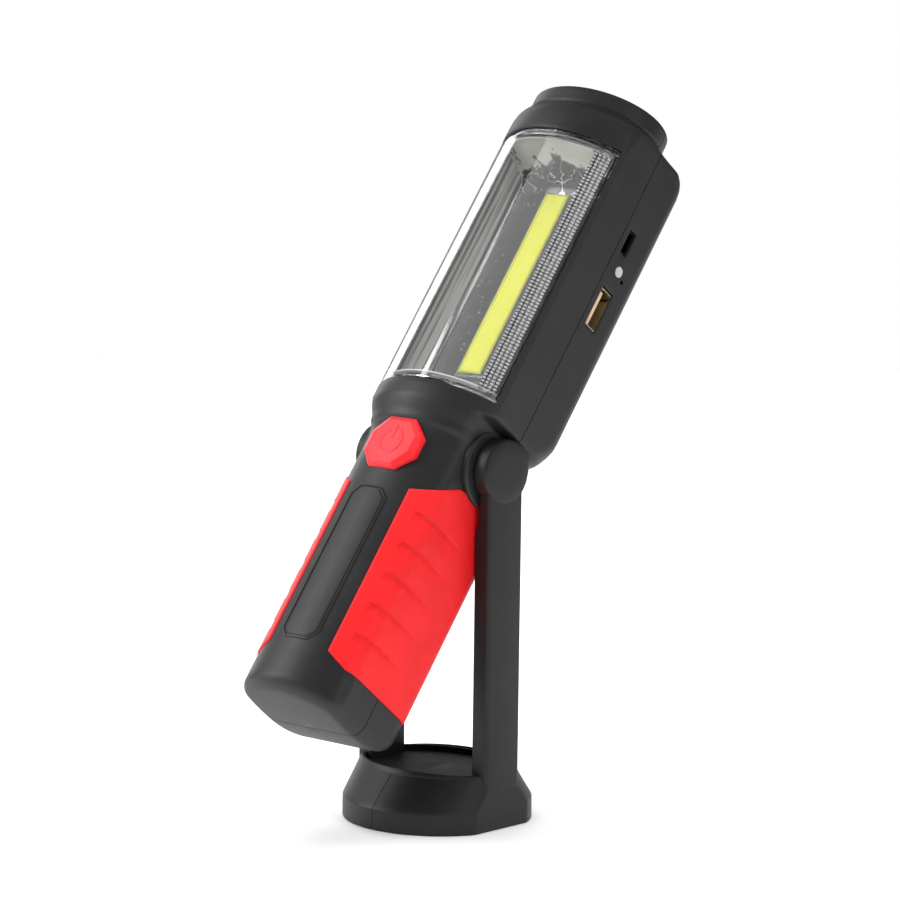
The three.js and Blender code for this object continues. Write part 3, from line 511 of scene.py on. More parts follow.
def make_tray():
    """Vacuum-coated tray whose colours are painted reflections: a dark mirror on its floor, its darkness a
    painted reflection, and a pale, bright, less metallic painted reflection on its sides and the upper part of
    its ends, with lengthwise painted streaks near the sides, painted wavy highlights on the top end, and rows
    of small raised moulding dots along one side, painted bright as glints."""
    material, tree, shader, place = material_start("vacuum_coated_tray_painted_reflections", {"IOR": 1.5})
    axes, x, w = lamp_place(tree, place)
    reach = add_node(tree, "ShaderNodeMath", {0: x}, operation="ABSOLUTE")

    # Streaks 1.3 mm wide and fifty times as long, for the painted reflection's streaks, and slow waves 5 mm
    # across
    along = add_node(tree, "ShaderNodeMapping", {"Vector": axes, "Scale": (1.0, 1.0, 0.02)})
    streak = add_node(
        tree, "ShaderNodeTexNoise", {"Vector": along, "Scale": per_mm(1.3), "Detail": 2.0, "Roughness": 0.5}
    )
    wave = add_node(
        tree, "ShaderNodeTexNoise", {"Vector": axes, "Scale": per_mm(5.0), "Detail": 2.0, "Roughness": 0.5}
    )

    # Painted reflection on the sides: beyond 18.5 to 19.5 mm from the middle, less the streaks' share of 4 mm
    ragged = add_node(tree, "ShaderNodeMath", {0: streak, 1: 4.0 * MM, 2: reach}, operation="MULTIPLY_ADD")
    sides = add_node(
        tree, "ShaderNodeMapRange", {"Value": ragged, "From Min": 18.5 * MM, "From Max": 19.5 * MM}
    )

    # Painted reflection on the top end: above an arch that rises with the square of x, ragged by the waves'
    # share of 4 mm
    square = add_node(tree, "ShaderNodeMath", {0: x, 1: x}, operation="MULTIPLY")
    arch = add_node(tree, "ShaderNodeMath", {0: square, 1: 9.0, 2: w}, operation="MULTIPLY_ADD")
    arch = add_node(tree, "ShaderNodeMath", {0: wave, 1: 4.0 * MM, 2: arch}, operation="MULTIPLY_ADD")
    top = add_node(
        tree, "ShaderNodeMapRange", {"Value": arch, "From Min": 104.2 * MM, "From Max": 104.8 * MM}
    )

    # Painted reflection on the bottom end: below 20 mm along the lamp
    bottom = add_node(
        tree,
        "ShaderNodeMapRange",
        {"Value": w, "From Min": 19.5 * MM, "From Max": 20.5 * MM, "To Min": 1.0, "To Max": 0.0},
    )

    # Dots: raised moulding dots painted bright as glints, at the middles of cells 1.9 mm apart, in a band 8 mm
    # wide to the left of the strip
    cells = add_node(
        tree, "ShaderNodeTexVoronoi", {"Vector": axes, "Scale": 520.0, "Randomness": 0.3}, feature="F1"
    )
    dots = add_node(
        tree,
        "ShaderNodeMapRange",
        {"Value": cells, "From Min": 0.12, "From Max": 0.2, "To Min": 0.8, "To Max": 0.0},
    )
    offset = add_node(tree, "ShaderNodeMath", {0: x, 1: 12.5 * MM}, operation="ADD")
    offset = add_node(tree, "ShaderNodeMath", {0: offset}, operation="ABSOLUTE")
    band = add_node(
        tree,
        "ShaderNodeMapRange",
        {"Value": offset, "From Min": 3.4 * MM, "From Max": 4.0 * MM, "To Min": 1.0, "To Max": 0.0},
    )
    dots = add_node(tree, "ShaderNodeMath", {0: dots, 1: band}, operation="MULTIPLY")

    # Painted wavy highlights: where the slow waves cross their middle value, on the top end only
    crossing = add_node(tree, "ShaderNodeMath", {0: wave, 1: 0.5}, operation="SUBTRACT")
    crossing = add_node(tree, "ShaderNodeMath", {0: crossing}, operation="ABSOLUTE")
    lines = add_node(
        tree,
        "ShaderNodeMapRange",
        {"Value": crossing, "From Min": 0.006, "From Max": 0.02, "To Min": 1.0, "To Max": 0.0},
    )
    upper = add_node(
        tree,
        "ShaderNodeMapRange",
        {"Value": w, "From Min": 94.5 * MM, "From Max": 95.5 * MM, "To Min": 0.0, "To Max": 0.7},
    )
    lines = add_node(tree, "ShaderNodeMath", {0: lines, 1: upper}, operation="MULTIPLY")

    # Every painted reflection, highlight and glint takes the pale colour and is less metallic; the rest is the
    # floor's painted dark reflection
    bright = sides
    for patch in (top, bottom, dots, lines):
        bright = add_node(tree, "ShaderNodeMath", {0: bright, 1: patch}, operation="MAXIMUM")
    # The floor's painted dark reflection, in two tones led by the slow waves
    tone = add_node(tree, "ShaderNodeMapRange", {"Value": wave, "From Min": 0.35, "From Max": 0.65})
    painted_dark_reflection = add_node(
        tree, "ShaderNodeMix", {"Factor": tone, 6: linear("#212224"), 7: linear("#343638")}, data_type="RGBA"
    )
    # The pale painted reflection, greyer along the streaks on the sides
    shaded = add_node(tree, "ShaderNodeMath", {0: streak, 1: sides}, operation="MULTIPLY")
    tone = add_node(tree, "ShaderNodeMapRange", {"Value": shaded, "From Min": 0.48, "From Max": 0.6})
    pale = add_node(
        tree, "ShaderNodeMix", {"Factor": tone, 6: linear("#fdfdfd"), 7: linear("#7d8083")}, data_type="RGBA"
    )
    colour = add_node(
        tree, "ShaderNodeMix", {"Factor": bright, 6: painted_dark_reflection.outputs[2], 7: pale.outputs[2]}, data_type="RGBA"
    )
    gloss = add_node(tree, "ShaderNodeMapRange", {"Value": bright, "To Min": 0.16, "To Max": 0.34})
    coated = add_node(tree, "ShaderNodeMapRange", {"Value": bright, "To Min": 0.9, "To Max": 0.05})
    height = add_node(tree, "ShaderNodeMath", {0: wave, 1: dots}, operation="ADD")
    relief = add_node(tree, "ShaderNodeBump", {"Height": height, "Strength": 1.0, "Distance": 0.04 * MM})
    feed(
        tree,
        shader,
        {"Base Color": colour.outputs[2], "Roughness": gloss, "Metallic": coated, "Normal": relief},
    )
    return material


def make_prism():
    """Clear moulded prisms over the coating, with a painted highlight on their crowns and painted black shade
    in the grooves between them, with ribs 1.15 mm apart along the lamp and columns 1.1 mm apart across it."""
    material, tree, shader, place = material_start("moulded_prisms_painted_light", {"Metallic": 0.4, "IOR": 1.5})
    _, x, w = lamp_place(tree, place)
    reach = add_node(tree, "ShaderNodeMath", {0: x}, operation="ABSOLUTE")
    inward = add_node(tree, "ShaderNodeMath", {0: reach, 1: PRISMS["inner"] * MM}, operation="SUBTRACT")
    crowns = []
    for run, pitch in ((w, PRISMS["rib"]), (inward, PRISMS["column"])):
        turn = add_node(tree, "ShaderNodeMath", {0: run, 1: math.pi / (pitch * MM)}, operation="MULTIPLY")
        swing = add_node(tree, "ShaderNodeMath", {0: turn}, operation="SINE")
        crowns.append(add_node(tree, "ShaderNodeMath", {0: swing}, operation="ABSOLUTE"))
    crown = add_node(tree, "ShaderNodeMath", {0: crowns[0], 1: crowns[1]}, operation="MULTIPLY")
    uneven = add_node(
        tree, "ShaderNodeTexNoise", {"Vector": place, "Scale": per_mm(0.7), "Detail": 2.0, "Roughness": 0.5}
    )
    gain = add_node(
        tree,
        "ShaderNodeMapRange",
        {"Value": uneven, "From Min": 0.3, "From Max": 0.7, "To Min": 0.7, "To Max": 1.4},
    )
    # Painted highlight on the crowns, made uneven by a fine noise
    shine = add_node(tree, "ShaderNodeMath", {0: crown, 1: gain}, operation="MULTIPLY")
    # Painted black shade in the grooves, near-white painted highlight on the crowns
    tone = add_node(tree, "ShaderNodeMapRange", {"Value": shine, "From Min": 0.24, "From Max": 0.54})
    colour = add_node(
        tree, "ShaderNodeMix", {"Factor": tone, 6: linear("#0b0b0c"), 7: linear("#f7f8f9")}, data_type="RGBA"
    )
    gloss = add_node(
        tree,
        "ShaderNodeMapRange",
        {"Value": uneven, "From Min": 0.3, "From Max": 0.7, "To Min": 0.12, "To Max": 0.24},
    )
    feed(tree, shader, {"Base Color": colour.outputs[2], "Roughness": gloss})
    return material


def make_floor():
    """Matt white paint on a smooth board."""
    material, tree, shader, place = material_start(
        "matt_white_paint", {"IOR": 1.45, "Specular IOR Level": 0.2}
    )
    speck = add_node(
        tree, "ShaderNodeTexNoise", {"Vector": place, "Scale": per_mm(30.0), "Detail": 3.0, "Roughness": 0.5}
    )
    dress(tree, shader, ("#fbfbfb", "#f8f8f8"), speck, speck, (0.7, 0.8), 0.02)
    return material


# ---- settings -----------------------------------------------------------------------


class WorkLightColours(bpy.types.PropertyGroup):
    abs_light: bpy.props.StringProperty(
        name="ABS, light tone", description="sRGB hex colour", default="#1b1b1d"
    )
    abs_dark: bpy.props.StringProperty(
        name="ABS, dark tone", description="sRGB hex colour", default="#161618"
    )
    # The stand's two tones: the ABS's tones painted a shade darker, as painted shade
    stand_painted_shade_light: bpy.props.StringProperty(
        name="Stand, light tone", description="sRGB hex colour", default="#141416"
    )
    stand_painted_shade_dark: bpy.props.StringProperty(
        name="Stand, dark tone", description="sRGB hex colour", default="#101012"
    )
    grip: bpy.props.StringProperty(name="Grip", description="sRGB hex colour", default="#f01f24")
    grip_dark: bpy.props.StringProperty(
        name="Grip, dark tone", description="sRGB hex colour", default="#e5191e"
    )
    button: bpy.props.StringProperty(name="Button", description="sRGB hex colour", default="#f52a35")
    phosphor: bpy.props.StringProperty(name="Phosphor", description="sRGB hex colour", default="#fdff08")
    phosphor_dark: bpy.props.StringProperty(
        name="Phosphor, dark tone", description="sRGB hex colour", default="#faff04"
    )


class WorkLightSizes(bpy.types.PropertyGroup):
    wall: bpy.props.FloatProperty(
        name="Wall", description="Thickness of the lamp shells in mm", default=1.8, min=1.0, max=2.5
    )
    seam_gap: bpy.props.FloatProperty(
        name="Seam",
        description="Half of the gap between the lamp shells in mm",
        default=0.13,
        min=0.02,
        max=0.4,
    )
    grip_proud: bpy.props.FloatProperty(
        name="Grip height", description="How far the grips stand out in mm", default=0.45, min=0.1, max=1.0
    )
    notches: bpy.props.IntProperty(
        name="Notches", description="Finger notches in each grip", default=5, min=0, max=8
    )
    focal_length: bpy.props.FloatProperty(
        name="Focal length", description="Camera lens in mm", default=160.0, min=20.0, max=300.0
    )


def sizes():
    """The sizes set in the panel."""
    return bpy.context.scene.work_light_sizes


# ---- lamp shells --------------------------------------------------------------------


def fine_lines(start, stop, step, *marks):
    """Evenly spaced numbers from start to stop, with the marks put in and near-doubles left out."""
    count = max(int(math.ceil((stop - start) / step)), 1)
    lines = np.concatenate([np.linspace(start, stop, count + 1), np.array(marks, float).ravel()])
    lines = np.unique(np.round(lines, 4))
    keep = [lines[0]]
    for value in lines[1:]:
        if value - keep[-1] > step * 0.25 or value in marks:
            if value in marks and value - keep[-1] <= step * 0.25 and keep[-1] not in marks and len(keep) > 1:
                keep.pop()
            keep.append(value)
    return np.array(keep)


WINDOW = {"low": 14.7, "high": 106.7, "half": 24.3}
USB_A = {"v": (3.2, 8.9), "w": (55.2, 69.3)}
MICRO_USB = {"v": (3.1, 6.3), "w": (81.6, 90.0)}
FOOT_ROUNDING = 4.0
RING_TOP = 123.4
RING_EDGE = 1.3


def lamp_rows():
    """Heights of the shell's rows: 2.5 mm apart on plain walls, 0.3 mm where the outline changes."""
    return np.unique(
        np.concatenate(
            [
                fine_lines(-88.0, 1.0, 2.5),
                fine_lines(1.0, 12.5, 0.3),
                fine_lines(12.5, 113.0, 2.5, WINDOW["low"], WINDOW["high"], *USB_A["w"], *MICRO_USB["w"]),
                fine_lines(113.0, 122.0, 0.3),
                fine_lines(122.0, 123.2, 0.6),
            ]
        )
    )


def sole_height(v):
    """The lamp's foot: lowest at the shell joint, rising with the square of the distance from it."""
    ahead = np.clip((SEAM_DEPTH - v) / 22.7, 0, 1.2)
    behind = np.clip((v - SEAM_DEPTH) / 15.3, 0, 1.2)
    return FOOT_EDGE + 2.2 * ahead**2 + 2.6 * behind**2


def grip_ends(v):
    """Heights of a grip's top and bottom edges at depth v: the top rises in two slants, the bottom falls in
    one."""
    top = np.interp(v, [-19.4, -8.0, 0.0, 5.0, 18.0], [-19.6, -11.8, -9.8, -9.4, -9.2])
    return top, np.interp(v, [-19.4, -17.6, -15.2, 15.0], [-75.2, -77.0, -78.8, -79.7])


def under_grip(around, w):
    """How far, 0 to 1, the shell is sunk below a grip: nought outside it, one from 3 mm inside its edge."""
    _, v = outline_point(around, w)
    top, bottom = grip_ends(v)
    ends = np.minimum(top - w, w - bottom) - 0.6
    sides = np.minimum((np.abs(around) - 0.59) * 16.0, (3.5 - np.abs(around)) * 6.0)
    return np.clip(np.minimum(ends, sides) / 2.4, 0, 1)


def shell_points(around, rows):
    """The shell's outside as rows of points: the foot from its centre out, its edge rounded by a quarter
    circle, the walls, the torch rim with another quarter circle, and the rim's inner lip. Returns the count
    of foot rows too."""
    parts = []
    wall = np.full_like(around, -85.0)
    base_x, base_v = outline_point(around, wall)
    for share in (0.0, 0.2, 0.4, 0.6, 0.7, 0.76):
        x, v = base_x * share, SEAM_DEPTH + (base_v - SEAM_DEPTH) * share
        parts.append(np.stack([x, v, sole_height(v)], -1))
    for turn in np.linspace(0.0, math.pi / 2, 9):
        x, v = outline_point(around, wall, FOOT_ROUNDING * (1 - math.sin(turn)))
        parts.append(np.stack([x, v, sole_height(v) + FOOT_ROUNDING * (1 - math.cos(turn))], -1))
    foot_rows = len(parts)
    for w in rows[1:]:
        height = np.full_like(around, w)
        x, v = outline_point(around, height, 0.9 * under_grip(around, height))
        lift = np.clip((-w - 78.0) / 10.0, 0, 1)
        floor = sole_height(v) + FOOT_ROUNDING
        parts.append(np.stack([x, v, np.maximum(height, floor + 0.3) * lift + height * (1 - lift)], -1))
    top = np.full_like(around, RING_TOP)
    for turn in np.linspace(0, math.pi / 2, 7)[1:]:
        x, v = outline_point(around, top, RING_EDGE * (1 - math.cos(turn)))
        parts.append(np.stack([x, v, top + RING_EDGE * math.sin(turn)], -1))
    for inset, height in ((1.9, 124.7), (2.15, 124.45), (2.2, 124.1), (2.3, 121.8)):
        x, v = outline_point(around, top, inset)
        parts.append(np.stack([x, v, np.full_like(around, height)], -1))
    return np.stack(parts), foot_rows


def shell(name, node, back):
    """One lamp shell: the outside as a grid of rows along the lamp and columns round it, with cells left out
    at the window and the sockets, thickened inwards. At the joint the columns draw back by the seam's gap."""
    window_edge = front_share(WINDOW["half"], 60.0)
    if back:
        marks = [side_fraction(v, 60.0) for v in (*USB_A["v"], *MICRO_USB["v"])]
        side_wall = np.concatenate([[2.0, 2.02, 2.05], fine_lines(2.05, 3.0, 0.1, *marks)])
        half = np.unique(np.concatenate([side_wall, np.linspace(3, 4, 13), np.linspace(4, 5, 7)]))
        around = np.concatenate([half, -half[-2::-1]])
    else:
        front_arc = fine_lines(0, 0.9, 0.03, window_edge)
        side_wall = np.concatenate([np.linspace(1.1, 1.94, 8), [1.97, 1.99, 2.0]])
        half = np.unique(np.concatenate([front_arc, np.linspace(0.9, 1.1, 9), side_wall]))
        around = np.concatenate([-half[:0:-1], half])
    points, foot_rows = shell_points(around, lamp_rows())
    to_seam = np.repeat(np.abs(np.abs(around) - 2)[None] * 15, len(points), 0)
    to_seam[:foot_rows] = np.abs(points[:foot_rows, :, 1] - SEAM_DEPTH)
    shift = np.clip(1 - to_seam / 0.6, 0, 1) * sizes().seam_gap
    points[..., 1] += shift if back else -shift
    height = points[:, len(around) // 2, 2]
    middle = (height[:-1] + height[1:]) / 2
    column = (around[:-1] + around[1:]) / 2
    keep = np.ones((len(height) - 1, len(around) - 1), bool)
    body = np.arange(len(height) - 1) >= foot_rows
    if back:
        for opening in (USB_A, MICRO_USB):
            low, high = (side_fraction(v, 60.0) for v in opening["v"])
            inside_w = body & (middle > opening["w"][0]) & (middle < opening["w"][1])
            inside_v = (column > low) & (column < high)
            keep &= ~(inside_w[:, None] & inside_v[None])
    else:
        inside_w = body & (middle > WINDOW["low"]) & (middle < WINDOW["high"])
        inside_v = np.abs(column) < window_edge
        keep &= ~(inside_w[:, None] & inside_v[None])
    piece = new_piece(name, to_rest(points), grid_faces(*points.shape[:2], keep), "lamp", Finishes.abs)
    thicken(piece, sizes().wall)
    soften(piece, 0.26, 50)
    finish_modifiers(piece, 30)
    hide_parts(node)
    return piece


class WORKLIGHT_OT_shells(bpy.types.Operator):
    """Builds the two lamp shells and the round bosses at the pivot"""

    bl_idname = "work_light.shells"
    bl_label = "Lamp shells"

    def execute(self, context):
        shell("lamp_shell_front", "front_shell", False)
        shell("lamp_shell_back", "back_shell", True)
        profile = [(17.0, 12.6), (20.9, 12.6), (21.3, 12.45), (21.55, 12.1), (21.65, 11.6), (21.65, 4.4)]
        profile += [(17.0, 4.4)]
        for suffix, side in (("right", 1), ("left", -1)):
            points, faces = spun([(side * along, radius) for along, radius in profile], "x", (0, 0, 0), 96)
            boss = new_piece("pivot_boss_" + suffix, to_rest(points), faces, "lamp", Finishes.abs)
        return {"FINISHED"}


# ---- window, reflector and light strip ----------------------------------------------


LENS = {
    "low": 14.85,
    "high": 106.55,
    "half": 24.15,
    "radius": 32.5,
    "front": -26.15,
    "rim": 3.6,
    "round_end": 1.5,
}
TRAY_FLOOR = -5.0
TRAY_HALF = 22.0
PRISMS = {"inner": 17.6, "width": 4.4, "rib": 1.15, "column": 1.1}


def lens_outline(share, inset):
    """Section of the window: share runs -1 to 1 across the bowed front and on to 1.3 down the rim at its
    side. inset draws the front in towards its own circle's centre and narrows the sides."""
    radius, half = LENS["radius"] - inset, LENS["half"] - inset
    centre = LENS["front"] + LENS["radius"]
    reach = np.arcsin(half / radius)
    turn = np.clip(share, -1, 1) * reach
    x, v = radius * np.sin(turn), centre - radius * np.cos(turn)
    down = np.clip((np.abs(share) - 1) / 0.3, 0, 1)
    return x, v + LENS["rim"] * down


class WORKLIGHT_OT_window(bpy.types.Operator):
    """Builds the clear window with its thick rounded ends"""

    bl_idname = "work_light.window"
    bl_label = "Window"

    def execute(self, context):
        low, high, round_end = LENS["low"], LENS["high"], LENS["round_end"]
        share = np.concatenate([[-1.3, -1.2, -1.1], np.linspace(-1, 1, 81), [1.1, 1.2, 1.3]])
        bend = np.linspace(0, math.pi / 2, 8)
        quarter = [(round_end * (1 - math.cos(b)), round_end * (1 - math.sin(b))) for b in bend]
        rows = [(low, round_end, depth) for depth in (0.0, 0.4, 0.8)]
        rows += [(low + rise, inset, 1.0) for rise, inset in quarter]
        rows += [(height, 0.0, 1.0) for height in np.linspace(low + round_end, high - round_end, 30)[1:-1]]
        rows += [(high - rise, inset, 1.0) for rise, inset in quarter[::-1]]
        rows += [(high, round_end, depth) for depth in (0.8, 0.4, 0.0)]
        points = []
        for height, inset, depth in rows:
            x, v = lens_outline(share, inset)
            v = np.maximum(v, lens_outline(np.clip(share, -1, 1), round_end)[1] + LENS["rim"] * (1 - depth))
            points.append(np.stack([x, v, np.full_like(x, height)], -1))
        points = np.stack(points)
        faces = grid_faces(*points.shape[:2])
        lens = new_piece("clear_window", to_rest(points), faces, "lamp", Finishes.clear)
        thicken(lens, 1.7)
        finish_modifiers(lens, 40)
        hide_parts("window_lens")
        return {"FINISHED"}


def tray_depth(x, w):
    """Depth of the reflector tray: a flat floor whose long sides bend forward to the window's edges, and
    whose ends curve forward like a bowl to just inside the window."""
    reach = np.minimum(np.abs(x), TRAY_HALF)
    inside = LENS["front"] + LENS["radius"] - np.sqrt((LENS["radius"] - 2.4) ** 2 - reach**2)
    side = np.clip((np.abs(x) - 16.4) / 5.6, 0, 1) ** 1.5 * 7.0
    top = 1 - np.sqrt(np.clip(1 - np.clip((w - 94.8) / 9.0, 0, 1) ** 2, 0, 1))
    bottom = 1 - np.sqrt(np.clip(1 - np.clip((25.0 - w) / 6.8, 0, 1) ** 2, 0, 1))
    end = np.maximum(top, bottom) * (TRAY_FLOOR - inside)
    depth = np.maximum(TRAY_FLOOR - np.maximum(side, end), inside)
    flange = np.maximum(np.clip((w - 103.9) / 0.4, 0, 1), np.clip((17.6 - w) / 0.4, 0, 1))
    return depth + (inside + 2.9 - depth) * flange


class WORKLIGHT_OT_reflector(bpy.types.Operator):
    """Builds the mirror-coated tray, the prisms along the window's long edges and the yellow light strip"""

    bl_idname = "work_light.reflector"
    bl_label = "Reflector and light strip"

    def execute(self, context):
        sides = np.linspace(16.0, TRAY_HALF, 25)
        x = np.unique(np.concatenate([-sides, np.linspace(-16.0, 16.0, 65), sides]))
        spans = [np.linspace(15.3, 26, 66), np.linspace(26, 94, 70), np.linspace(94, 106.1, 76)]
        w = np.unique(np.concatenate(spans))
        grid_x, grid_w = np.meshgrid(x, w)
        points = np.stack([grid_x, tray_depth(grid_x, grid_w), grid_w], -1)
        faces = grid_faces(*points.shape[:2])
        tray = new_piece("reflector_tray", to_rest(points), faces, "lamp", Finishes.tray, 60)
        thicken(tray, 0.5)
        finish_modifiers(tray, 60)
        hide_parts("reflector")
        for suffix, side in (("right", 1), ("left", -1)):
            self.prisms(suffix, side)
        self.strip()
        return {"FINISHED"}

    def prisms(self, suffix, side):
        """The prisms: a band inside the window's edge. Its depth is a row of round-topped ribs along the lamp
        times a row of round-topped columns across it, each the 0.7th power of a sine's size."""
        share = np.linspace(0.0, 1.0, 33)
        w = np.linspace(17.8, 103.6, 745)
        grid_s, grid_w = np.meshgrid(share, w)
        x = PRISMS["inner"] + PRISMS["width"] * grid_s
        rib = np.abs(np.sin(math.pi * grid_w / PRISMS["rib"])) ** 0.7
        column = np.abs(np.sin(math.pi * (x - PRISMS["inner"]) / PRISMS["column"])) ** 0.7
        radius = LENS["radius"] - 1.9
        v = LENS["front"] + LENS["radius"] - np.sqrt(radius**2 - x**2) + 0.75 - 0.55 * rib * column
        points = np.stack([x * side, v, grid_w], -1)
        faces = grid_faces(*points.shape[:2])
        piece = new_piece("edge_prisms_" + suffix, to_rest(points), faces, "lamp", Finishes.prism, 50)

    def strip(self):
        """The strip: a low rounded bar of silicone on the board, its edge falling with a quarter circle, with
        a narrow groove beside its left edge."""
        half, low, high, rounding, face = 4.6, 28.0, 94.0, 0.7, -7.15
        edge = np.array([0.0, 0.1, 0.25, 0.45, rounding])
        drop = rounding - np.sqrt(np.clip(rounding**2 - (rounding - edge) ** 2, 0, 1))
        middle = np.array([-3.75, -3.7, -3.4, -3.35, -2.5, -1.5, -0.5, 0.5, 1.5, 2.5, 3.4])
        groove = np.array([0.0, 0.8, 0.8, 0.0, 0, 0, 0, 0, 0, 0, 0])
        across = np.concatenate([-half + edge, middle, (half - edge)[::-1]])
        fall_x = np.concatenate([drop, groove, drop[::-1]])
        along = np.concatenate([low + edge, np.linspace(low + 1.2, high - 1.2, 60), (high - edge)[::-1]])
        fall_w = np.concatenate([drop, np.zeros(60), drop[::-1]])
        grid_x, grid_w = np.meshgrid(across, along)
        v = face + np.maximum(fall_x[None, :], fall_w[:, None])
        top = np.stack([grid_x, v, grid_w], -1)
        faces = grid_faces(*top.shape[:2])
        piece = new_piece("light_strip", to_rest(top), faces, "lamp", Finishes.phosphor, 60)
        thicken(piece, 0.25)
        finish_modifiers(piece, 60)
        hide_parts("cob_strip")


# ---- button, plate and grips --------------------------------------------------------


def octagon_reach(angle, half, flat, top, bottom, shoulder):
    """Distance from the middle of an eight-sided outline to its edge in a direction: the least of the
    distances to its upright, level and slanted sides. Returns the height of the middle too."""
    middle = (top + bottom) / 2
    height = (top - bottom) / 2
    across, up = np.abs(np.cos(angle)), np.abs(np.sin(angle))
    straight = np.minimum(half / np.maximum(across, 1e-6), height / np.maximum(up, 1e-6))
    run, fall = half - flat, shoulder
    length = math.hypot(run, fall)
    normal_x, normal_z = fall / length, run / length
    distance = half * normal_x + (height - shoulder) * normal_z
    slanted = distance / np.maximum(across * normal_x + up * normal_z, 1e-6)
    return np.minimum(straight, slanted), middle


def power_mark(x, z):
    """A raised power mark: a ring open at the top and a bar in the opening, 0 to 1 with soft sides."""
    ring_radius, half_line = 4.0, 0.5
    distance = np.abs(np.hypot(x, z) - ring_radius)
    ring = np.where((z > 0) & (np.abs(np.arctan2(x, z)) < 0.45), 9.0, distance)
    bar = np.hypot(x, np.maximum(np.maximum(1.2 - z, z - 4.9), 0))
    return np.clip((half_line + 0.2 - np.minimum(ring, bar)) / 0.3, 0, 1)


class WORKLIGHT_OT_button(bpy.types.Operator):
    """Builds the eight-sided power button with its raised mark"""

    bl_idname = "work_light.button"
    bl_label = "Power button"

    def execute(self, context):
        outline = {"half": 10.1, "flat": 5.1, "top": 2.1, "bottom": -15.3, "shoulder": 5.4}
        underside_depth, mark_rise = -17.2, 0.17
        height = (outline["top"] - outline["bottom"]) / 2
        upper = np.arctan2(
            [height - outline["shoulder"], height, height, height - outline["shoulder"]],
            [outline["half"], outline["flat"], -outline["flat"], -outline["half"]],
        )
        corners = np.concatenate([upper, upper + math.pi])
        angle = np.unique(np.round(np.concatenate([np.linspace(0, 2 * math.pi, 193)[:-1], corners]), 5))
        reach, middle = octagon_reach(angle, **outline)
        bevel = [0.815, 0.83, 0.85, 0.9, 0.94, 0.955, 0.968, 0.98, 0.99, 0.997, 1.0, 1.0, 1.0]
        share = np.concatenate([np.linspace(0, 0.8, 65), bevel])
        height_at = np.interp(share, [0, 0.815, 0.83, 0.955, 0.975, 1.0], [1.55, 1.55, 1.5, 0.95, 0.8, 0.3])
        height_at[-2:] = (-1.0, -4.5)
        radius = share[:, None] * reach[None]
        x = radius * np.cos(angle)
        z = radius * np.sin(angle)
        mark = power_mark(x, z) * mark_rise
        w = z + middle
        v = front_depth(x * 0.55, np.full_like(w, -20.0)) - height_at[:, None] - mark
        points = np.stack([x, v, w], -1)
        points[-1, :, 1] = underside_depth
        stem = [(-17.6, 0.0), (-17.6, 2.6), (-14.95, 2.6), (-14.95, 0.0)]
        stem_points, stem_faces = spun(stem, "v", (0, 0, middle), 24)
        centre = np.full_like(x[-1:], 0.0)
        underside = np.stack([centre, centre + underside_depth, centre + middle], -1)
        points = np.concatenate([points, underside])
        faces = grid_faces(*points.shape[:2], wrap_columns=True)
        points, faces = merge_meshes([(points, faces), (stem_points, stem_faces)])
        piece = new_piece("button_cap", to_rest(points), faces, "button", Finishes.key, 32)
        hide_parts("power_button")
        return {"FINISHED"}


class WORKLIGHT_OT_plate(bpy.types.Operator):
    """Builds the long eight-sided plate in the handle: its height is a profile of the distance to its edge,
    with a raised rim and a groove inside it"""

    bl_idname = "work_light.plate"
    bl_label = "Handle plate"

    def execute(self, context):
        half, flat, top, bottom, shoulder = 7.3, 4.2, -21.6, -74.4, 3.0
        steps = (0.0, 0.1, 0.25, 0.5, 0.62, 1.0, 1.12)
        marks = top - np.array([*steps, shoulder])
        plain = np.arange(bottom + 1.4, top - 1.4, 0.7)
        lines = np.unique(np.concatenate([marks, bottom + top - marks, plain]))
        share = np.linspace(-1, 1, 147)
        slope = np.minimum(top - lines, lines - bottom)
        width = flat + (half - flat) * np.clip(slope / shoulder, 0, 1)
        x = share[None] * width[:, None]
        w = np.repeat(lines[:, None], len(share), 1)
        length = math.hypot(half - flat, shoulder)
        to_side = half - np.abs(x)
        to_end = np.repeat(slope[:, None], len(share), 1)
        to_corner = to_side * shoulder / length + (to_end - shoulder) * (half - flat) / length
        inside = np.minimum(np.minimum(to_side, to_end), to_corner)
        rise = np.interp(inside, steps, [0.0, 0.3, 0.42, 0.42, 0.06, 0.06, 0.26])
        v = front_depth(x, w) - 0.02 - rise
        points = np.stack([x, v, w], -1)
        faces = grid_faces(*points.shape[:2])
        piece = new_piece("grip_plate", to_rest(points), faces, "lamp", Finishes.abs, 50)
        thicken(piece, 0.9)
        finish_modifiers(piece, 50)
        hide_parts("handle_plate")
        return {"FINISHED"}


FIRST_NOTCH = -25.4
NOTCH_PITCH = 10.4


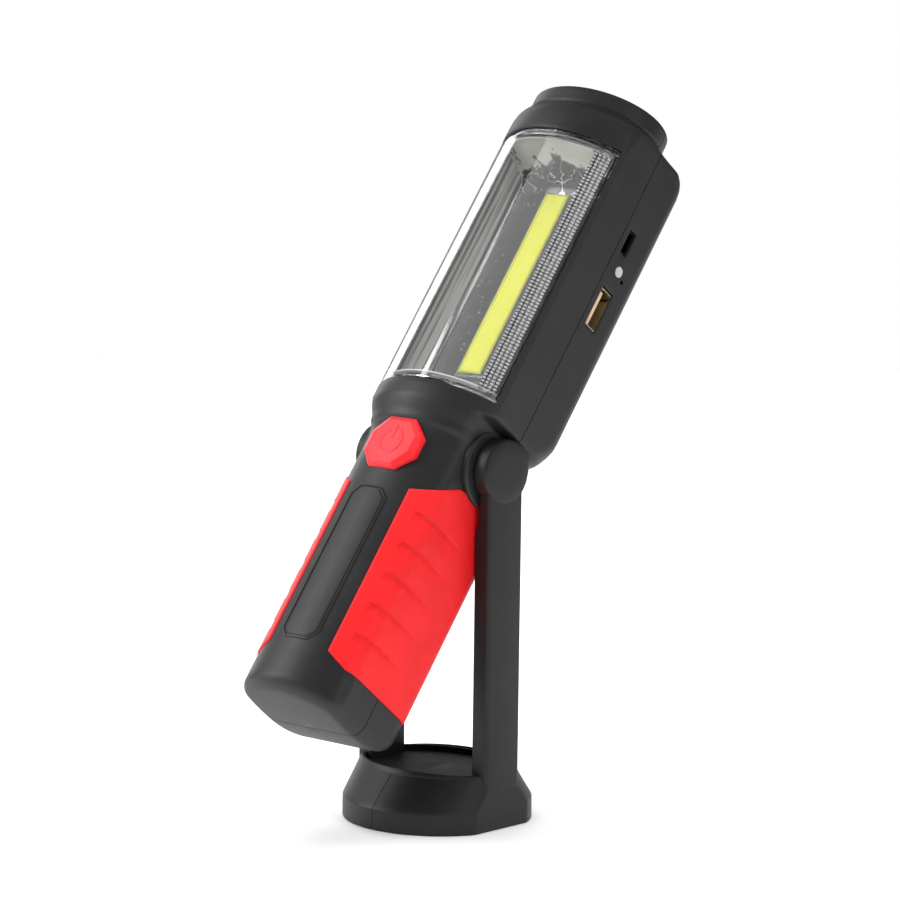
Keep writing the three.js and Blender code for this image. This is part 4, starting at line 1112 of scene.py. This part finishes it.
def grip_piece(suffix, side):
    """A grip: a skin over the handle's outline between its front edge and the back corner. Its ends slant,
    its edge falls away with a quarter circle, and finger notches are scooped out from the front."""
    settings = sizes()
    front = front_share(11.9, -50.0)
    around = np.concatenate(
        [
            np.linspace(front, 0.9, 40),
            np.linspace(0.9, 1.1, 16)[1:],
            np.linspace(1.1, 2, 56)[1:],
            np.linspace(2, 3, 34)[1:],
            np.linspace(3, 3.55, 12)[1:],
        ]
    )
    _, depth = outline_point(around, np.full_like(around, -50.0))
    top, bottom = grip_ends(depth)
    share = np.linspace(0, 1, 317)
    w = bottom[None] + (top - bottom)[None] * share[:, None]
    turn = np.repeat(around[None], len(share), 0)
    middle = np.full_like(w, -50.0)
    x, v = outline_point(turn, middle)
    outward_x, outward_v = outline_point(turn, middle, -1.0)
    outward_x, outward_v = outward_x - x, outward_v - v
    run = np.concatenate([[0], np.cumsum(np.hypot(np.diff(x[0]), np.diff(v[0])))])
    to_front = run[None] + 0 * w
    to_back = run[-1] - to_front
    to_top = (top[None] - w) * 0.9
    to_bottom = w - bottom[None]
    inside = np.minimum(np.minimum(to_front, to_back), np.minimum(to_top, to_bottom))
    rounding = np.clip(inside / 0.7, 0, 1)
    rise = settings.grip_proud * np.sqrt(np.clip(1 - (1 - rounding) ** 2, 0, 1))
    for index in range(settings.notches):
        rise -= notch(v, w, FIRST_NOTCH - NOTCH_PITCH * index)
    points = np.stack([(x + outward_x * rise) * side, v + outward_v * rise, w], -1)
    rim = (inside <= 1e-6)[..., None]
    sunk = np.stack([(x - outward_x * 0.5) * side, v - outward_v * 0.5, w], -1)
    points = np.where(rim, sunk, points)
    faces = grid_faces(*points.shape[:2])
    piece = new_piece("rubber_grip_" + suffix, to_rest(points), faces, "lamp", Finishes.rubber, 55)
    thicken(piece, 0.9)
    finish_modifiers(piece, 55)
    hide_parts("grip_" + suffix)


def notch(v, w, start):
    """A finger notch across the corner: a square-ended recess near the front edge, whose top line carries on
    round the side as a step that fades behind and below."""
    ends = np.clip((v + 16.7) / 0.5, 0, 1)
    recess = ends * np.clip((-11.4 - v) / 1.6, 0, 1)
    line = start - 0.5 * np.clip((v + 12) / 14, 0, 1) ** 2
    below = line - w
    square = np.interp(below, [-0.1, 0.25, 2.2, 3.6], [0.0, 1.0, 0.85, 0.0])
    scallop = np.interp(below, [-0.1, 0.25, 2.0, 6.5], [0.0, 1.0, 0.55, 0.0])
    trail = ends * np.clip((3.5 - v) / 9.0, 0, 1)
    return 0.86 * square * recess + 0.8 * scallop * trail * (1 - recess)


class WORKLIGHT_OT_grips(bpy.types.Operator):
    """Builds the two red rubber grips with their finger notches"""

    bl_idname = "work_light.grips"
    bl_label = "Grips"

    def execute(self, context):
        grip_piece("right", 1)
        grip_piece("left", -1)
        return {"FINISHED"}


# ---- torch end ----------------------------------------------------------------------


class WORKLIGHT_OT_torch(bpy.types.Operator):
    """Builds the nose torch: the bezel, whose rings run from the lamp's outline to a round mouth, and the
    clear disc over the cups"""

    bl_idname = "work_light.torch"
    bl_label = "Nose torch"

    def execute(self, context):
        half = np.linspace(0, 5, 81)
        around = np.concatenate([half, -half[-2:0:-1]])
        outer_x, outer_v = outline_point(around, np.full_like(around, 124.0), 2.4)
        angle = np.arctan2(outer_x, TORCH_CENTRE - outer_v)
        mouth = 14.2
        rows = [(outer_x, outer_v, np.full_like(angle, height)) for height in (122.6, 123.2)]
        inner_x = mouth * np.sin(angle)
        inner_v = TORCH_CENTRE - mouth * np.cos(angle)
        slope = ((0.04, 123.55), (0.12, 123.65), (0.5, 123.4), (0.9, 123.1), (1.0, 122.95), (1.0, 122.6))
        for share, height in slope:
            x = outer_x + (inner_x - outer_x) * share
            v = outer_v + (inner_v - outer_v) * share
            rows.append((x, v, np.full_like(angle, height)))
        points = np.stack([np.stack(row, -1) for row in rows])
        faces = grid_faces(*points.shape[:2], wrap_rows=True, wrap_columns=True)
        bezel = new_piece("torch_rim", to_rest(points), faces, "lamp", Finishes.satin_abs, 40)
        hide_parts("torch_bezel")
        profile = [(120.8, 0.0), (120.8, 15.3), (121.0, 15.5), (122.2, 15.5), (122.4, 15.3)]
        profile += [(122.5, 12.0), (122.55, 0.0)]
        points, faces = spun(profile, "z", (0, TORCH_CENTRE, 0), 96)
        lens = new_piece("torch_disc", to_rest(points), faces, "lamp", Finishes.clear, 40)
        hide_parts("torch_lens")
        return {"FINISHED"}


# ---- stand --------------------------------------------------------------------------


BASE_RADIUS = 29.0
BASE_FLAT = 26.6
RECESS_FLOOR = 15.4


def base_ring(angle, radius, z):
    """The base's outline at height z: a circle cut by two flats, which draws in evenly above the wall, a
    little at the sides and most at the front and back."""
    rise = np.clip((z - 6.8) / 10.5, 0, 1)
    flat = BASE_FLAT * radius / BASE_RADIUS
    x = np.clip(radius * np.cos(angle) * (1 - 0.08 * rise), -flat, flat)
    return x, radius * np.sin(angle) * (1 - 0.335 * rise)


class WORKLIGHT_OT_stand(bpy.types.Operator):
    """Builds the stand: two halves of the base, each with its arm and hub"""

    bl_idname = "work_light.stand"
    bl_label = "Stand"

    def execute(self, context):
        for suffix, side in (("right", 1), ("left", -1)):
            base = self.base_half(suffix, side)
            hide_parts("stand_" + suffix)
            arm = self.arm(suffix, side)
            hub = self.hub(suffix, side)
        for suffix, side in (("back", 1), ("front", -1)):
            tongue = self.tongue(suffix, side)
        return {"FINISHED"}

    def tongue(self, suffix, side):
        """The tongue behind the joint of the base's halves: a strip 1.6 mm wide that follows the wall 0.6 mm
        below its surface."""
        across = np.linspace(-0.8, 0.8, 5)
        height = np.concatenate([[0.8, 3.0, 6.0, 6.6], np.linspace(7.2, 16.6, 14)])
        grid_x, grid_z = np.meshgrid(across, height)
        depth = base_ring(math.pi / 2, BASE_RADIUS, grid_z)[1] - 0.6
        points = np.stack([grid_x, depth * side, grid_z], -1)
        faces = grid_faces(*points.shape[:2])
        piece = new_piece("base_tongue_" + suffix, upright(points), faces, "stand", Finishes.stand_abs)
        thicken(piece, 0.5, 0.0)
        return finish_modifiers(piece)

    def base_half(self, suffix, side):
        """Half of the base: rings from the foot's inner edge round the wall, over the rim and across the
        recess. Its outer wall draws back from the joint by 0.11 mm."""
        angle = np.linspace(-math.pi / 2, math.pi / 2, 121)
        near_seam = np.array([0.002, 0.006, 0.012]) - math.pi / 2
        angle = np.sort(np.concatenate([angle, near_seam, -near_seam]))
        stations = [(23.6, 0.3), (23.6, 0.0), (28.3, 0.0), (28.6, 0.06), (28.85, 0.2)]
        stations += [(BASE_RADIUS, z) for z in (0.5, 3.0, 6.0, 6.6, *np.linspace(7.2, 16.6, 14))]
        stations += [(28.93, 16.95), (28.75, 17.2), (28.45, 17.3), (27.5, 17.3), (27.25, 17.22)]
        stations += [(27.12, 17.0), (26.9, 15.9), (26.7, 15.6), (26.3, 15.45)]
        stations += [(radius, RECESS_FLOOR) for radius in (18.0, 9.0, 0.0)]
        rows = []
        for radius, z in stations:
            x, y = base_ring(angle, radius, np.full_like(angle, z))
            rows.append(np.stack([np.abs(x) * side, y, np.full_like(x, z)], -1))
        points = np.stack(rows)
        outside = np.array([radius > 28.2 for radius, _ in stations])[:, None]
        points[..., 0] += side * 0.11 * np.clip(1 - np.abs(points[..., 0]) / 0.35, 0, 1) * outside
        faces = grid_faces(*points.shape[:2])
        piece = new_piece("stand_base_" + suffix, upright(points), faces, "stand", Finishes.stand_abs)
        thicken(piece, 1.5)
        soften(piece, 0.16, 50)
        return finish_modifiers(piece, 30)

    def arm(self, suffix, side):
        """The arm: a rectangle with round corners carried up, whose inner face steps out near the hub."""
        spans = [np.linspace(12.0, 88, 20), np.linspace(88, 95, 15), np.linspace(95, PIVOT_HEIGHT, 8)]
        heights = np.unique(np.concatenate(spans))
        outer, half, corner, steps = 26.75, 7.5, 1.3, 6
        turn = np.linspace(0, math.pi / 2, steps)
        rows = []
        for z in heights:
            inner = float(np.interp(z, [91.0, 92.4], [20.7, 22.1]))
            xs, ys = [], []
            for sx, sy in ((1, 1), (-1, 1), (-1, -1), (1, -1)):
                order = turn if sx * sy > 0 else turn[::-1]
                radius = corner if sx > 0 else 0.5
                cx = outer - radius if sx > 0 else inner + radius
                xs.append(cx + sx * radius * np.cos(order))
                ys.append(sy * (half - radius) + sy * radius * np.sin(order))
            rows.append(np.stack([np.concatenate(xs), np.concatenate(ys), np.full(4 * steps, z)], -1))
        points = np.stack(rows)
        columns = points.shape[1]
        faces = [list(face) for face in grid_faces(*points.shape[:2], wrap_columns=True)]
        faces.append(list(range(columns))[::-1])
        faces.append([(len(heights) - 1) * columns + index for index in range(columns)])
        points[..., 0] *= side
        return new_piece("stand_arm_" + suffix, upright(points), faces, "stand", Finishes.stand_abs)

    def hub(self, suffix, side):
        """The hub: a closed profile turned about the pivot, which makes a thick disc with a rounded rim and a
        barely domed face, hollow behind for the pin."""
        profile = [(22.1, 4.15), (22.1, 9.4), (22.4, 9.8), (26.0, 9.8), (26.5, 9.68), (26.85, 9.35)]
        profile += [(27.0, 8.8), (27.05, 6.0), (27.1, 3.0), (27.12, 0.0), (25.6, 0.0), (25.6, 4.15)]
        ring = 96
        turned = [(side * along, radius) for along, radius in profile]
        points, _ = spun(turned, "x", (0, 0, PIVOT_HEIGHT), ring)
        faces = grid_faces(len(profile), ring, wrap_rows=True, wrap_columns=True)
        return new_piece("stand_hub_" + suffix, upright(points), faces, "stand", Finishes.stand_abs, 30)


class WORKLIGHT_OT_hook(bpy.types.Operator):
    """Builds the folding wire hook under the base: an axle, a corner, a leg, a half circle and a tip"""

    bl_idname = "work_light.hook"
    bl_label = "Hanging hook"

    def execute(self, context):
        span, pivot_y, height, tip, turn, wire = 14.2, 13.5, 2.1, 3.4, 2.6, 1.25
        bend = np.linspace(0, math.pi / 2, 9)
        start = np.stack([np.linspace(3.5, span - turn, 6), np.full(6, pivot_y)], -1)
        corner = np.stack([span - turn + turn * np.sin(bend), pivot_y - turn + turn * np.cos(bend)], -1)[1:]
        leg = np.stack([np.full(8, span), np.linspace(pivot_y - turn, 0, 9)[1:]], -1)
        half = np.linspace(0, math.pi, 41)[1:]
        curve = np.stack([span * np.cos(half), -span * np.sin(half)], -1)
        end = np.stack([np.full(4, -span), np.linspace(0, tip, 5)[1:]], -1)
        flat = np.concatenate([start, corner, leg, curve, end])
        path = np.concatenate([flat, np.full((len(flat), 1), height)], 1)
        points, faces = swept(path, wire, 20)
        piece = new_piece("wire_hook", upright(points), faces, "hook", Finishes.steel, 60)
        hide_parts("hanging_hook")
        return {"FINISHED"}


# ---- finishes of the solid model's own nodes ----------------------------------------

NODE_FINISHES = {
    "cob_board": "aluminium",
    "torch_board": "board",
    "torch_reflector": "mirror",
    "torch_cradle": "satin_abs",
    "main_board": "board",
    "usb_a_shell": "nickel",
    "usb_a_tongue": "gold",
    "micro_usb_shell": "black_nickel",
    # The small socket's shell takes the nickel sheet painted dark as painted shade
    "micro_usb_tongue": "satin_abs",
    "status_light_pipe": "frosted",
    "charge_light_pipe": "satin_abs",
    "battery_cell": "sleeve",
    "battery_tab_positive": "nickel",
    "battery_tab_negative": "nickel",
    "battery_lead_positive": "red_wire",
    "battery_lead_negative": "black_wire",
    "cob_lead": "red_wire",
    "torch_lead": "red_wire",
    "switch_board": "board",
    "push_switch": "white",
    # The base's cover takes the stand's ABS, painted a shade darker as painted shade
    "base_cover": "stand_abs",
    "base_magnet": "nickel",
    "steel_ballast": "steel",
}


class WORKLIGHT_OT_node_finishes(bpy.types.Operator):
    """Gives the solid model's own nodes their finishes"""

    bl_idname = "work_light.node_finishes"
    bl_label = "Finishes of solid nodes"

    def execute(self, context):
        for name, node in NODES.items():
            key = NODE_FINISHES.get(name)
            if name.startswith("torch_led"):
                key = "white"
            if name.startswith(("shell_screw", "cover_screw", "pivot_pin", "friction_washer")):
                key = "steel"
            if key:
                node.data.materials.clear()
                node.data.materials.append(getattr(Finishes, key))
        return {"FINISHED"}


# ---- stage --------------------------------------------------------------------------


class WORKLIGHT_OT_stage(bpy.types.Operator):
    """Builds the pale floor, the soft lights and the camera"""

    bl_idname = "work_light.stage"
    bl_label = "Stage"

    def execute(self, context):
        self.floor()
        self.lights()
        self.camera()
        return {"FINISHED"}

    def floor(self):
        """A round board 2.4 m across whose surface is flat."""
        angle = np.arange(64) * math.pi / 32
        points = np.stack([1.2 * np.cos(angle), 1.2 * np.sin(angle), 0 * angle], -1)
        mesh = bpy.data.meshes.new("floor")
        mesh.from_pydata(points.tolist(), [], [list(range(64))])
        floor = bpy.data.objects.new("floor", mesh)
        bpy.context.scene.collection.objects.link(floor)
        mesh.materials.append(Finishes.floor)

    def lights(self):
        """A white room, dimmer as a light than as a backdrop, and four soft boxes that face the object."""
        world = bpy.data.worlds.new("studio")
        bpy.context.scene.world = world
        world.use_nodes = True
        tree = world.node_tree
        background = tree.nodes["Background"]
        seen = add_node(tree, "ShaderNodeLightPath").outputs["Is Camera Ray"]
        room = add_node(tree, "ShaderNodeMapRange", {"Value": seen, "To Min": 0.28, "To Max": 1.0})
        background.inputs["Color"].default_value = (1.0, 1.0, 1.0, 1.0)
        feed(tree, background, {"Strength": room})
        target = Vector((0, 0, 0.11))
        for name, place, size, power in (
            ("overhead", (0.0, 0.1, 1.7), (2.4, 2.4), 52.0),
            ("key", (-0.95, -0.75, 0.75), (0.5, 0.9), 12.0),
            ("side", (1.1, -0.2, 0.6), (0.3, 0.8), 2.2),
            ("rim", (-1.15, 0.5, 0.4), (0.35, 0.9), 3.0),
        ):
            light = bpy.data.lights.new(name, "AREA")
            light.shape = "RECTANGLE"
            light.size, light.size_y = size
            light.energy = power
            lamp = bpy.data.objects.new(name, light)
            lamp.location = place
            lamp.rotation_euler = (Vector(place) - target).to_track_quat("Z", "Y").to_euler()
            lamp.visible_glossy = name != "overhead"
            bpy.context.scene.collection.objects.link(lamp)

    def camera(self):
        """A long lens a little above the pivot's height, right of the front, rolled by under a degree."""
        azimuth, elevation, roll = math.radians(42.3), math.radians(7.9), math.radians(0.73)
        back = Vector(
            (
                math.sin(azimuth) * math.cos(elevation),
                -math.cos(azimuth) * math.cos(elevation),
                math.sin(elevation),
            )
        )
        right = Vector((math.cos(azimuth), math.sin(azimuth), 0.0))
        up = back.cross(right)
        aside, above, distance = 2.601, 3.973, 1212.1
        place = Vector((0, 0, PIVOT_HEIGHT * MM)) + (right * aside + up * above + back * distance) * MM
        turned_right = right * math.cos(roll) + up * math.sin(roll)
        turned_up = up * math.cos(roll) - right * math.sin(roll)
        data = bpy.data.cameras.new("camera")
        data.lens = sizes().focal_length
        data.sensor_width = 36.0
        data.clip_start, data.clip_end = 0.05, 30.0
        camera = bpy.data.objects.new("camera", data)
        axes = Matrix((turned_right, turned_up, back)).transposed().to_4x4()
        camera.matrix_world = Matrix.Translation(place) @ axes
        bpy.context.scene.collection.objects.link(camera)
        bpy.context.scene.camera = camera
        bpy.context.scene.view_settings.view_transform = "Standard"


class WORKLIGHT_PT_panel(bpy.types.Panel):
    """Lists the steps that build the work light"""

    bl_idname = "WORKLIGHT_PT_panel"
    bl_label = "Work light"
    bl_space_type = "VIEW_3D"
    bl_region_type = "UI"
    bl_category = "Work light"

    def draw(self, context):
        column = self.layout.column()
        for step in STEPS:
            column.operator(step.bl_idname)
        for group in (context.scene.work_light_sizes, context.scene.work_light_colours):
            for key in group.__annotations__:
                column.prop(group, key)


STEPS = (
    WORKLIGHT_OT_stage,
    WORKLIGHT_OT_node_finishes,
    WORKLIGHT_OT_shells,
    WORKLIGHT_OT_window,
    WORKLIGHT_OT_reflector,
    WORKLIGHT_OT_button,
    WORKLIGHT_OT_plate,
    WORKLIGHT_OT_grips,
    WORKLIGHT_OT_torch,
    WORKLIGHT_OT_stand,
    WORKLIGHT_OT_hook,
)
CLASSES = (WorkLightColours, WorkLightSizes, *STEPS, WORKLIGHT_PT_panel)


def register():
    for item in CLASSES:
        bpy.utils.register_class(item)
    bpy.types.Scene.work_light_colours = bpy.props.PointerProperty(type=WorkLightColours)
    bpy.types.Scene.work_light_sizes = bpy.props.PointerProperty(type=WorkLightSizes)


def unregister():
    del bpy.types.Scene.work_light_sizes
    del bpy.types.Scene.work_light_colours
    for item in reversed(CLASSES):
        bpy.utils.unregister_class(item)


def main():
    """Registers the add-on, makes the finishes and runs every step."""
    register()
    make_finishes(bpy.context.scene.work_light_colours)
    for step in STEPS:
        group, name = step.bl_idname.split(".")
        getattr(getattr(bpy.ops, group), name)()


if __name__ == "__main__":
    main()
